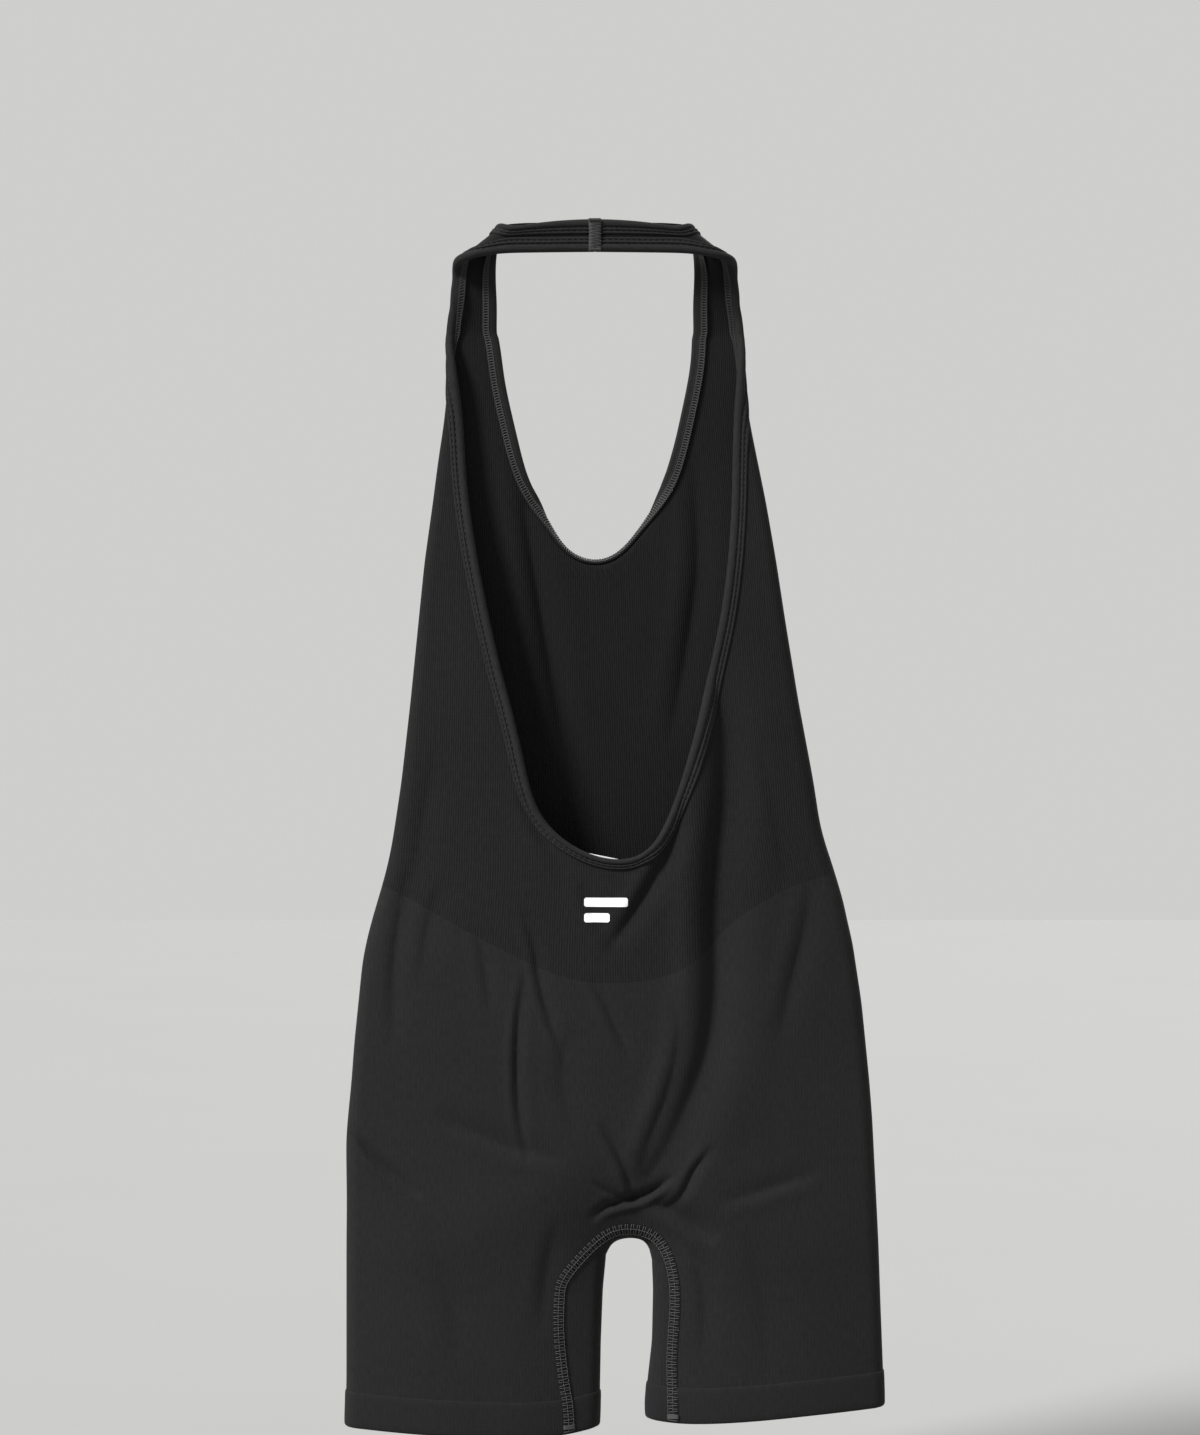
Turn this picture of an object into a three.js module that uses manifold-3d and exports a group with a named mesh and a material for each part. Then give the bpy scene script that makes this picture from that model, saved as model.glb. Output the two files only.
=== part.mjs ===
// Halter-neck gymnastics unitard, laid out as it hangs: millimetres, +Z up.
// The back of the garment faces -Y and its front +Y. The origin is the inner top of the neck loop.
import * as THREE from 'three';
import { LoftGeometry } from 'three/addons/geometries/LoftGeometry.js';
import { mergeVertices } from 'three/addons/utils/BufferGeometryUtils.js';
import Module from 'manifold-3d';

// ---- overall sizes ----
const UNDERARM_HALF_WIDTH = 80.9;
const WAIST_HALF_WIDTH = 117.2;
const HIP_HALF_WIDTH = 146;
const LOOP_DROP = 60; // top of the neck loop down to where the flat tube begins
const BODICE_LENGTH = 271; // tube top to the waist
const HIP_LENGTH = 177; // waist to the widest line of the hips
const SEAT_LENGTH = 37; // widest line to where the legs part
const CROTCH_DEPTH = 18; // rounding of the crotch below that
const LEG_LENGTH = 105; // crotch to the hem
const UNDERARM_HALF_DEPTH = 5;
const WAIST_HALF_DEPTH = 17.5;
const HIP_HALF_DEPTH = 21;
const WAIST_SWAY = 7; // sideways drift of the hanging tube by the waist
const HIP_SWAY = 8.5;

// ---- fabric and trim sizes ----
const FABRIC = 1.1; // thickness of the knit
const CLEAR = 0.3; // gap between pieces that touch on the real garment
const BINDING_WIDTH = 7.7;
const BINDING_KNIT = 0.55; // thickness of each leg of the folded binding
const BINDING_ROUND = 0.4; // bevel of its folded edge
const BINDING_GAP = 0.7; // room between the binding's legs and what they hold
const ELASTIC_WIDTH = 5;
const ELASTIC_THICKNESS = 0.4;
const EDGE_INSET = 1.15; // the fabric edge inside the folded binding
const NEEDLE_SPACING = 3.4; // width of the twin needle stitching
const THREAD = 0.3;
const STITCH_LIFT = 0.75; // stitching stands this far off the face that it is sewn on
const BINDING_PARTING = 1.9; // between the two bindings in the neck band
const BAND_HEIGHT = 2 * BINDING_WIDTH + BINDING_PARTING;
const BAND_TOP = 1;
const BAND_FOOT = BAND_TOP - BAND_HEIGHT;
const BAND_DEPTH = -8.2; // middle of the band's fabric, in front of what carries it
const TAIL_WIDTH = 26.4; // front tail where it leaves the tube
const WELT_HEIGHT = 20.5;
const WELT_THICKNESS = 2.2; // two layers lying together
const FLATLOCK_WIDTH = 5.5;

// ---- openings and seams ----
const NECKLINE_DEPTH = 127.5; // tube top down to the bottom of the front neckline
const BACK_OPENING_DEPTH = BODICE_LENGTH + 20.5; // tube top down to the bottom of the back opening
const NECKLINE_CURVE = 1.7; // 2 would be an ellipse, less is more pointed
const BACK_PANEL_TOP = 15; // the back panel's horns end this far below the tube top
const WAIST_LINE_DROP = 89; // waist to the lowest point of the knitted contour
const WAIST_LINE_RISE = 58; // how far the contour climbs towards the side folds
const LEG_GAP = 26;
const LEG_GAP_CENTRE = 17;
const LEG_HALF_DEPTH = 17;
const INSEAM_INSET = { left: 21, right: 13.5 }; // back seam of each leg from its inner fold
const HEM_TILT = { left: 0.018, right: 0.065 }; // rise of each hem per millimetre to the right

// ---- label and badge ----
const LABEL = { width: 26, drop: 18, thickness: 0.4, tab: 8, tilt: 0.2, centre: 6.4 };
const BADGE = { centre: 6.1, drop: 26, bars: [24, 14], height: 5, pitch: 8.5, thickness: 0.3 };

// ---- neck seam, bartacks and gusset ----
const NECK_SEAM = { width: 6.6, thickness: 0.8 };
const ALLOWANCE = { width: 6, thickness: 0.8, shorter: 2 };
const NECK_BARTACK = { width: 4.4, depth: 3.2, height: 1, centre: -1.2 }; // centre from the band's fabric
const HEM_BARTACK = { rise: 0.4, height: 1.2, thickness: 0.8 };
const GUSSET = { thickness: 0.8, drops: [-14, 0, 6], narrower: 4, floor: 0.75 }; // floor: share of the crotch

// ---- how finely the pieces are stepped, and room for cutting them ----
const WELD = 1e-4; // corners nearer than this are one
const FOLD_STEPS = 3;
const STRAP_STEPS = 3;
const STITCH_STOPS_SHORT = 1; // stops that the stitching leaves free at the neck seam
const NECKLINE_STEPS = 10;
const ARCH_STEPS = 10;
const PLATE_STEPS = 4;
const BEND_STEP = 2; // what lies along an edge can bend about this often across its width
const FOLD_REACH = 2 * BINDING_WIDTH + 3; // an edge nearer than this to its side fold takes short steps
const FOLD_STEP = 1.6; // longest step of an edge round a side fold
const BLEND_STOPS = 3; // stops between the tube's top and a strap's first full stop
const FACE_STEPS = 4;
const HALF_FABRIC = FABRIC / 2;
const Z_TOP = -LOOP_DROP;
const Z_WAIST = Z_TOP - BODICE_LENGTH;
const Z_HIP = Z_WAIST - HIP_LENGTH;
const Z_PART = Z_HIP - SEAT_LENGTH;
const Z_CROTCH = Z_PART - CROTCH_DEPTH;
const Z_HEM = Z_CROTCH - LEG_LENGTH;
const FAR = 400; // half size of the cutting blocks
const TRIM = { outside: 1.2, depth: 3, above: 4 }; // how far the edge trimmer reaches past the fabric's edge
const INSEAM = {
  left: LEG_GAP_CENTRE - LEG_GAP / 2 - INSEAM_INSET.left,
  right: LEG_GAP_CENTRE + LEG_GAP / 2 + INSEAM_INSET.right,
  top: Z_PART - 7,
  foot: Z_PART - 42,
};

const BEND_COUNT = Math.ceil(BINDING_WIDTH / BEND_STEP);
const BENDS = Array.from({ length: BEND_COUNT - 1 }, (_, i) => (BINDING_WIDTH * (i + 1)) / BEND_COUNT);

const wasm = await Module();
wasm.setup();
const { lerp } = THREE.MathUtils;
const vec = (x, y, z) => new THREE.Vector3(x, y, z);

// ---------------------------------------------------------------- solids

/** Turns a closed geometry into a solid that can be joined and cut. */
function toSolid(geometry) {
  const bare = new THREE.BufferGeometry().copy(geometry);
  bare.deleteAttribute('normal');
  bare.deleteAttribute('uv');
  const welded = mergeVertices(bare, WELD);
  const mesh = new wasm.Mesh({
    numProp: 3,
    vertProperties: new Float32Array(welded.attributes.position.array),
    triVerts: new Uint32Array(welded.index.array),
  });
  return new wasm.Manifold(mesh);
}

/** Turns a solid back into a geometry. */
function toGeometry(solid) {
  const mesh = solid.getMesh();
  const geometry = new THREE.BufferGeometry();
  geometry.setAttribute('position', new THREE.BufferAttribute(new Float32Array(mesh.vertProperties), 3));
  geometry.setIndex(new THREE.BufferAttribute(new Uint32Array(mesh.triVerts), 1));
  geometry.computeVertexNormals();
  return geometry;
}

/** Six times the volume that a geometry's faces close off, negative when they point in. */
function signedVolume(geometry) {
  const { position } = geometry.attributes;
  const corner = [vec(0, 0, 0), vec(0, 0, 0), vec(0, 0, 0)];
  let total = 0;
  for (let i = 0; i < geometry.index.count; i += 3) {
    corner.forEach((c, k) => c.fromBufferAttribute(position, geometry.index.getX(i + k)));
    total += corner[0].dot(corner[1].cross(corner[2]));
  }
  return total;
}

/** Skins a row of equal sections into a closed geometry that faces out. */
function loft(sections) {
  const build = (rows) => new LoftGeometry(rows, { capStart: true, capEnd: true });
  const geometry = build(sections);
  return signedVolume(geometry) > 0 ? geometry : build([...sections].reverse());
}

/** A flat outline in the XZ plane, pushed through from one depth to another. */
function throughDepth(outline, yFrom, yTo) {
  const shape = new THREE.Shape(outline.map(([x, z]) => new THREE.Vector2(x, z)));
  const geometry = new THREE.ExtrudeGeometry(shape, { depth: yTo - yFrom, bevelEnabled: false });
  geometry.rotateX(Math.PI / 2);
  geometry.translate(0, yTo, 0);
  return toSolid(geometry);
}

/** A flat outline in the YZ plane, pushed through the whole width. */
function throughWidth(outline) {
  const shape = new THREE.Shape(outline.map(([y, z]) => new THREE.Vector2(y, z)));
  const geometry = new THREE.ExtrudeGeometry(shape, { depth: 2 * FAR, bevelEnabled: false });
  geometry.applyMatrix4(new THREE.Matrix4().makeBasis(vec(0, 1, 0), vec(0, 0, 1), vec(1, 0, 0)));
  geometry.translate(-FAR, 0, 0);
  return toSolid(geometry);
}

// ---------------------------------------------------------------- the flattened tubes

/**
 * A flattened tube: two gently bulged faces joined by round side folds.
 * A place on it is a side (-1 left, 1 right), the distance round from that side's fold
 * (positive on the front face, negative on the back face) and a height.
 */
class Tube {
  constructor(stations) {
    this.stations = stations; // from the top down
  }

  level(z) {
    const rows = this.stations;
    let i = 0;
    while (i < rows.length - 2 && rows[i + 1].z > z) i += 1;
    const [upper, lower] = [rows[i], rows[i + 1]];
    const t = (upper.z - z) / (upper.z - lower.z);
    const mix = (key) => lerp(upper[key], lower[key], t);
    const keys = ['half', 'sway', 'centre', 'depth', 'fold'];
    return Object.fromEntries(keys.map((key) => [key, mix(key)]));
  }

  /** Distance round from the fold for a distance straight in from the tube's outer edge. */
  aroundFor(inward, z) {
    const { fold } = this.level(z);
    if (inward < fold) return fold * Math.acos(1 - Math.max(inward, 0) / fold);
    return inward - fold + (fold * Math.PI) / 2;
  }

  middle(side, around, z) {
    const { half, sway, centre, depth, fold } = this.level(z);
    const turn = Math.min(Math.abs(around) / fold, Math.PI / 2);
    const inward = fold * (1 - Math.cos(turn)) + Math.max(Math.abs(around) - (fold * Math.PI) / 2, 0);
    const share = 1 - inward / half;
    const rise = fold * Math.sin(turn) + (depth - fold) * (1 - share * share);
    return vec(sway + side * (half - inward), centre + Math.sign(around) * rise, z);
  }

  normal(side, around, z) {
    const step = 0.05;
    const across = this.middle(side, around + step, z).sub(this.middle(side, around - step, z));
    const down = this.middle(side, around, z - step).sub(this.middle(side, around, z + step));
    return across.cross(down).normalize().multiplyScalar(-side);
  }

  at(side, around, z, offset) {
    return this.middle(side, around, z).addScaledVector(this.normal(side, around, z), offset);
  }

  /** The places round one quarter of the tube, from the fold to the middle of a face. */
  quarter(z) {
    const { half, fold } = this.level(z);
    const arc = (fold * Math.PI) / 2;
    const places = [];
    for (let i = 0; i < FOLD_STEPS; i += 1) places.push((arc * i) / FOLD_STEPS);
    for (let i = 0; i <= FACE_STEPS; i += 1) places.push(arc + ((half - fold) * i) / FACE_STEPS);
    return places;
  }

  ring(z, offset) {
    const places = this.quarter(z);
    const inner = places.slice(0, -1).reverse();
    const row = (side, list, face) => list.map((a) => this.at(side, face * a, z, offset));
    const points = [
      ...row(1, places, 1),
      ...row(-1, inner, 1),
      ...row(-1, places.slice(1), -1),
      ...row(1, inner.slice(0, -1), -1),
    ];
    points.forEach((p) => p.setZ(z));
    return points;
  }

  /** The tube as a filled solid, grown by an offset, between two heights. */
  solid(offset, zLow, zHigh) {
    const between = this.stations.map((row) => row.z).filter((z) => z < zHigh && z > zLow);
    const levels = [zHigh, ...between, zLow].reverse();
    return toSolid(loft(levels.map((z) => this.ring(z, offset))));
  }
}

// share of the length, share of the widening, centre in depth, half depth share, fold radius
const BODICE_SHAPE = [
  [0, 0, 11, 0, 4],
  [0.09, 0.03, 11.5, 0, 4],
  [0.185, 0.107, 11, 0.04, 4.2],
  [0.295, 0.25, 9, 0.2, 4.6],
  [0.47, 0.45, 5, 0.52, 5.5],
  [0.59, 0.565, 4, 0.68, 6],
  [0.756, 0.725, 3.2, 0.84, 6.5],
  [0.92, 0.91, 3, 0.96, 7],
];
const HIP_SHAPE = [
  [0, 0, 3, 0, 7],
  [0.107, 0.149, 3, 0.15, 7],
  [0.254, 0.403, 3, 0.43, 7],
  [0.44, 0.66, 3, 0.71, 7.5],
  [0.69, 0.837, 3, 1, 7.5],
  [1, 1, 3, 1, 7.5],
];

function torsoStations() {
  const bodice = BODICE_SHAPE.map(([along, widen, centre, deepen, fold]) => ({
    z: Z_TOP - along * BODICE_LENGTH,
    half: lerp(UNDERARM_HALF_WIDTH, WAIST_HALF_WIDTH, widen),
    sway: along * WAIST_SWAY,
    depth: lerp(UNDERARM_HALF_DEPTH, WAIST_HALF_DEPTH, deepen),
    centre,
    fold,
  }));
  const hips = HIP_SHAPE.map(([along, widen, centre, deepen, fold]) => ({
    z: Z_WAIST - along * HIP_LENGTH,
    half: lerp(WAIST_HALF_WIDTH, HIP_HALF_WIDTH, widen),
    sway: lerp(WAIST_SWAY, HIP_SWAY, along),
    depth: lerp(WAIST_HALF_DEPTH, HIP_HALF_DEPTH, deepen),
    centre,
    fold,
  }));
  const crotch = [
    { z: Z_PART, half: HIP_HALF_WIDTH + 0.5, sway: HIP_SWAY + 1, depth: HIP_HALF_DEPTH - 0.5, fold: 7.5 },
    { z: Z_PART - 0.6 * CROTCH_DEPTH, half: LEG_GAP + 4, sway: LEG_GAP_CENTRE, depth: 12.5, fold: 7 },
    { z: Z_CROTCH, half: LEG_GAP / 2, sway: LEG_GAP_CENTRE, depth: 6, fold: 5 },
  ].map((row) => ({ ...row, centre: 3 }));
  return [...bodice, ...hips, ...crotch];
}

/** A leg tube runs up inside the torso and is cut off along its hem line. */
function legStations(side) {
  const inner = LEG_GAP_CENTRE + (side * LEG_GAP) / 2;
  const outer = (flare) => HIP_SWAY + 1 + side * (HIP_HALF_WIDTH + flare);
  const row = (z, flare, crossing, depth, fold) => {
    const [from, to] = [outer(flare), inner - side * crossing];
    return { z, half: Math.abs(to - from) / 2, sway: (from + to) / 2, centre: 3, depth, fold };
  };
  const flareAtHem = side > 0 ? 4 : 0.5;
  return [
    row(Z_HIP + 0.15 * HIP_LENGTH, -5, -6, 0.65 * LEG_HALF_DEPTH, 5),
    row(Z_PART, 0, -3, 0.94 * LEG_HALF_DEPTH, 6.5),
    row(Z_CROTCH, 0.4, 0, LEG_HALF_DEPTH, 6.5),
    row(Z_CROTCH - 0.3 * LEG_LENGTH, 1, 0, LEG_HALF_DEPTH, 6.5),
    row(Z_HEM - 2 * WELT_HEIGHT, flareAtHem, 0, 0.94 * LEG_HALF_DEPTH, 6),
  ];
}

const torso = new Tube(torsoStations());
const legs = { left: new Tube(legStations(-1)), right: new Tube(legStations(1)) };
const Z_LEG_TOP = legs.left.stations[0].z;
const Z_LEG_END = Z_HEM - 2 * WELT_HEIGHT;

/** The whole body as one filled solid, grown by an offset. */
function bodySolid(offset, extraTop, extraCrotch) {
  const trunk = torso.solid(offset, Z_CROTCH + extraCrotch, Z_TOP + extraTop);
  const leg = (tube) => tube.solid(offset, Z_LEG_END - extraTop, Z_LEG_TOP);
  return trunk.add(leg(legs.left)).add(leg(legs.right));
}

// ---------------------------------------------------------------- lines on the body

/** Height of the knitted contour between bodice and shorts. */
function waistLine(x) {
  const share = Math.abs((x - HIP_SWAY) / WAIST_HALF_WIDTH);
  return Z_WAIST - WAIST_LINE_DROP + WAIST_LINE_RISE * share ** 1.6;
}

/** Height of a leg's lower edge. */
function hemLine(x) {
  const tilt = x < LEG_GAP_CENTRE ? HEM_TILT.left : HEM_TILT.right;
  const lift = x < LEG_GAP_CENTRE ? 0 : 4;
  return Z_HEM + lift + Math.abs(x - LEG_GAP_CENTRE) * tilt;
}

const STRAIGHT = [-FAR, FAR];
const HEM_PLACES = [-FAR, LEG_GAP_CENTRE - 0.01, LEG_GAP_CENTRE + 0.01, FAR];
const WAIST_PLACES = Array.from({ length: 13 }, (_, i) => HIP_SWAY + ((i - 6) / 6) * 1.3 * HIP_HALF_WIDTH);

/** Block above or below a line across the garment, with its face at line + shift. */
function beyondLine(line, places, shift, up) {
  const outline = places.map((x) => [x, line(x) + shift]);
  const end = up ? FAR : -3 * FAR;
  outline.push([places.at(-1), end], [places[0], end]);
  return throughDepth(outline, -FAR, FAR);
}

/** Block on the front (1) or the back (-1) of the line through the side folds. */
function faceBlock(face, shift) {
  const outline = torso.stations.map(({ z, centre }) => [centre + shift, z]);
  outline.unshift([torso.stations[0].centre + shift, FAR]);
  outline.push([torso.stations.at(-1).centre + shift, -3 * FAR]);
  outline.push([face * FAR, -3 * FAR], [face * FAR, FAR]);
  return throughWidth(outline);
}

// ---------------------------------------------------------------- edges of the openings

// The back opening's edge: share of the half width, share of the opening's depth up from its bottom.
const BACK_OPENING_SHAPE = [
  [0, 0],
  [0.1, 0.004],
  [0.19, 0.022],
  [0.27, 0.06],
  [0.33, 0.1],
  [0.406, 0.19],
  [0.53, 0.34],
  [0.67, 0.507],
  [0.745, 0.603],
  [0.81, 0.7],
  [0.889, 0.827],
  [0.94, 0.91],
  [0.972, 0.965],
  [1, 1],
];

/** The back opening's free edge on one side, from the bottom up, as places on the tube. */
function backOpeningEdge(side) {
  const bottom = Z_TOP - BACK_OPENING_DEPTH;
  const edge = BACK_OPENING_SHAPE.map(([share, up]) => {
    const z = bottom + up * BACK_OPENING_DEPTH;
    return { side, around: -torso.aroundFor(torso.level(z).half * (1 - share), z), z };
  });
  return edge.flatMap((here, i) => {
    const next = edge[i + 1];
    if (!next || here.around < -FOLD_REACH) return [here];
    const count = Math.ceil((next.around - here.around) / FOLD_STEP);
    const between = (t) => ({ side, around: lerp(here.around, next.around, t), z: lerp(here.z, next.z, t) });
    return Array.from({ length: count }, (_, k) => between(k / count));
  });
}

/** Half width of the neckline at a height. */
function necklineHalf(z) {
  const bottom = Z_TOP - NECKLINE_DEPTH;
  const up = THREE.MathUtils.clamp((z - bottom) / NECKLINE_DEPTH, 0, 1) * 0.9;
  const full = UNDERARM_HALF_WIDTH - TAIL_WIDTH;
  return (full * Math.sqrt(1 - (1 - up) ** NECKLINE_CURVE)) / Math.sqrt(1 - 0.1 ** NECKLINE_CURVE);
}

/** The front neckline's free edge on one side, from the bottom up. */
function necklineEdge(side) {
  const edge = [];
  for (let i = 0; i <= NECKLINE_STEPS; i += 1) {
    const z = Z_TOP - NECKLINE_DEPTH * (1 - (i / NECKLINE_STEPS) ** 2);
    const { half } = torso.level(z);
    edge.push({ side, around: torso.aroundFor(half - necklineHalf(z), z), z });
  }
  return edge;
}

/**
 * Follows an edge on the tube from the bottom of its opening up. Each stop gives the place
 * at a distance into the fabric and an offset from the fabric's middle. The first stop
 * reaches straight down and the last one straight sideways.
 */
function stopsOnTube(edge) {
  const turn = edge[0].around < 0 ? 1 : -1;
  return edge.map((here, i) => {
    const before = edge[Math.max(i - 1, 0)];
    const after = edge[Math.min(i + 1, edge.length - 1)];
    const da = i === edge.length - 1 ? 0 : after.around - before.around;
    const dz = i === 0 ? 0 : after.z - before.z;
    const length = Math.hypot(da, dz);
    const [ua, uz] = [(turn * dz) / length, (-turn * da) / length];
    return (inward, offset) => torso.at(here.side, here.around + ua * inward, here.z + uz * inward, offset);
  });
}

// ---------------------------------------------------------------- halter straps

// A strap's edges: distance in from where the edge leaves the tube, depth, and height above
// the tube's top while it rises, then above the band's foot (outer) or top (inner).
const STRAP_OUTER = {
  rise: [
    [0.5, 10.2, 13],
    [1, 9, 23],
  ],
  band: [
    [2.2, 8, -11.5],
    [2.6, 2, -6],
    [6, -6, -4.9],
    [14, -8.4, -3.3],
    [28, -8.3, -0.9],
    [50, BAND_DEPTH, -0.3],
  ],
};
const STRAP_INNER = {
  rise: [
    [-0.2, 12.6, 13],
    [-0.4, 9.4, 30],
  ],
  band: [
    [3.6, 8, -4.8],
    [4.4, 2, 1.2],
    [7.5, -6, 1.2],
    [12, -8.4, 0],
    [18, -8.3, 0],
    [32, BAND_DEPTH, 0],
  ],
};

/** Outer and inner edge of a strap from the tube, over its support, to the centre back. */
function strapEdges(side) {
  const curve = (from, { rise, band }, bandLine) => {
    const place = (base) => ([inward, y, above]) => vec(side * (from - inward), y, base + above);
    const seam = vec(side * CLEAR, BAND_DEPTH, bandLine);
    return new THREE.CatmullRomCurve3([...rise.map(place(Z_TOP)), ...band.map(place(bandLine)), seam]);
  };
  return {
    outer: curve(UNDERARM_HALF_WIDTH, STRAP_OUTER, BAND_FOOT),
    inner: curve(UNDERARM_HALF_WIDTH - TAIL_WIDTH, STRAP_INNER, BAND_TOP),
    last: STRAP_OUTER.rise.length + STRAP_OUTER.band.length,
  };
}

/** One place on the sheet that spans a strap's two edges. */
function strapPlace(strap, along, share) {
  return strap.outer.getPoint(along).lerp(strap.inner.getPoint(along), share);
}

function strapNormal(side, strap, along, share) {
  const step = 0.004;
  const [low, high] = [Math.max(along - step, 0), Math.min(along + step, 1)];
  const forward = strapPlace(strap, high, share).sub(strapPlace(strap, low, share));
  const across = strapPlace(strap, along, 1).sub(strapPlace(strap, along, 0));
  return forward.cross(across).normalize().multiplyScalar(-side);
}

/** Stops along one edge of a strap, like those on the tube. */
function stopsOnStrap(side, strap, edge, tubeTop) {
  const count = STRAP_STEPS * strap.last;
  const stops = [];
  for (let i = 1; i <= count; i += 1) {
    const along = i / count;
    const across = strapPlace(strap, along, 1).sub(strapPlace(strap, along, 0));
    const lean = across.clone().cross(strap[edge].getTangent(along)).length();
    stops.push((inward, offset) => {
      const share = edge === 'outer' ? inward / lean : 1 - inward / lean;
      return strapPlace(strap, along, share).addScaledVector(strapNormal(side, strap, along, share), offset);
    });
  }
  const blend = (t) => (inward, offset) => tubeTop(inward, offset).lerp(stops[0](inward, offset), t);
  const blends = Array.from({ length: BLEND_STOPS }, (_, i) => blend((i + 1) / (BLEND_STOPS + 1)));
  return [...blends, ...stops];
}

/** All stops of one edge of the garment, from the left of the neck seam to the right of it. */
function wholeEdge(edgeOnTube, edgeOnStrap) {
  const half = (side) => {
    const onTube = stopsOnTube(edgeOnTube(side));
    return [...onTube, ...stopsOnStrap(side, strapEdges(side), edgeOnStrap, onTube.at(-1))];
  };
  return [...half(-1).reverse(), ...half(1).slice(1)];
}

/** Sweeps a closed section of [inward, offset] corners along a row of stops. */
function sweep(stops, section) {
  return loft(stops.map((stop) => section.map(([inward, offset]) => stop(inward, offset))));
}

/** Distances from one to another, with the shared bends that lie between them. */
const bendsBetween = (from, to, bends) => [from, ...bends.filter((b) => b > from + 0.3 && b < to - 0.3), to];

/** Section of a flat ribbon between two distances in and two offsets. */
function ribbonSection(inFrom, inTo, offFrom, offTo, bends) {
  const across = bendsBetween(inFrom, inTo, bends);
  const row = (offset) => across.map((inward) => [inward, offset]);
  return [...row(offFrom), ...row(offTo).reverse()];
}

/** Section of a binding folded over an edge: two legs and the fold that joins them. */
function bindingSection(bends) {
  const outer = HALF_FABRIC + BINDING_GAP;
  const inner = -HALF_FABRIC - 2 * BINDING_GAP - ELASTIC_THICKNESS;
  const places = (from) => bendsBetween(from, BINDING_WIDTH, bends);
  const row = (from, offset) => places(from).map((inward) => [inward, offset]);
  return [
    ...row(BINDING_ROUND, outer + BINDING_KNIT).reverse(),
    [0, outer],
    [0, inner],
    ...row(BINDING_ROUND, inner - BINDING_KNIT),
    ...row(BINDING_KNIT, inner).reverse(),
    ...row(BINDING_KNIT, outer),
  ];
}

const EDGES = {
  neckline: { stops: wholeEdge(necklineEdge, 'inner'), bends: [] },
  back_opening: { stops: wholeEdge(backOpeningEdge, 'outer'), bends: BENDS },
};
const OUTER_FACE = HALF_FABRIC + BINDING_GAP + BINDING_KNIT;
const INNER_FACE = -HALF_FABRIC - 2 * BINDING_GAP - ELASTIC_THICKNESS - BINDING_KNIT;

const makeBinding = ({ stops, bends }) => sweep(stops, bindingSection(bends));

function makeElastic({ stops, bends }) {
  const from = EDGE_INSET + BINDING_GAP;
  const face = -HALF_FABRIC - BINDING_GAP;
  return sweep(stops, ribbonSection(from, from + ELASTIC_WIDTH, face - ELASTIC_THICKNESS, face, bends));
}

/** The stitching on one face of a binding, which stops short of the neck seam. */
function makeStitching({ stops, bends }, face) {
  const from = (BINDING_WIDTH - NEEDLE_SPACING) / 2;
  const [near, far] = [STITCH_LIFT, STITCH_LIFT + THREAD].map((lift) => face + Math.sign(face) * lift);
  const section = ribbonSection(from, from + NEEDLE_SPACING, near, far, bends);
  return sweep(stops.slice(STITCH_STOPS_SHORT, -STITCH_STOPS_SHORT), section);
}

function makeStrap(side) {
  const strap = strapEdges(side);
  const top = (edge) => stopsOnTube(edge(side)).at(-1);
  const outerStops = [top(backOpeningEdge), ...stopsOnStrap(side, strap, 'outer', top(backOpeningEdge))];
  const innerStops = [top(necklineEdge), ...stopsOnStrap(side, strap, 'inner', top(necklineEdge))];
  const reach = [EDGE_INSET, ...BENDS, BINDING_WIDTH];
  const row = (i, offset) => [...reach.map((b) => outerStops[i](b, offset)), innerStops[i](EDGE_INSET, offset)];
  const section = (i) => [...row(i, HALF_FABRIC), ...row(i, -HALF_FABRIC).reverse()];
  return loft(outerStops.map((_, i) => section(i)));
}

// ---------------------------------------------------------------- the knitted tube

/** Filled strip along an edge on the tube that clears the fabric out of the binding's fold. */
function edgeTrimmer(edge) {
  const section = ribbonSection(-TRIM.outside, EDGE_INSET, -TRIM.depth, TRIM.depth, []);
  const halves = [-1, 1].map((side) => stopsOnTube(edge(side)));
  const above = [-1, 1].map((side, k) => {
    const top = halves[k].at(-1);
    return (inward, offset) => top(inward, offset).add(vec(0, 0, TRIM.above));
  });
  return toSolid(sweep([above[0], ...halves[0].reverse(), ...halves[1].slice(1), above[1]], section));
}

/** Prism over an opening, from one depth to another. */
function openingPrism(edge, yFrom, yTo) {
  const point = ({ side, around, z }) => {
    const { x } = torso.middle(side, around, z);
    return [x, z];
  };
  const left = edge(-1).map(point).reverse();
  const right = edge(1).map(point).slice(1);
  const top = Z_TOP + 20;
  return throughDepth([[left[0][0], top], ...left, ...right, [right.at(-1)[0], top]], yFrom, yTo);
}

/** The arch that the inseam follows between the legs, from the left leg to the right. */
function inseamArch() {
  const centre = (INSEAM.left + INSEAM.right) / 2;
  const half = (INSEAM.right - INSEAM.left) / 2;
  const squareness = 0.8; // 1 would be half an ellipse, less is squarer
  const arch = [];
  for (let i = 0; i <= ARCH_STEPS; i += 1) {
    const turn = Math.PI * (1 - i / ARCH_STEPS);
    const across = Math.abs(Math.cos(turn)) ** squareness * Math.sign(Math.cos(turn));
    const up = Math.sin(turn) ** squareness;
    arch.push([centre + half * across, lerp(INSEAM.foot, INSEAM.top, up)]);
  }
  return arch;
}

/** The knit shell between its outer and inner faces, still in one piece. */
function knitShell() {
  return bodySolid(HALF_FABRIC, -CLEAR, 0).subtract(bodySolid(-HALF_FABRIC, 10, FABRIC));
}

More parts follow.
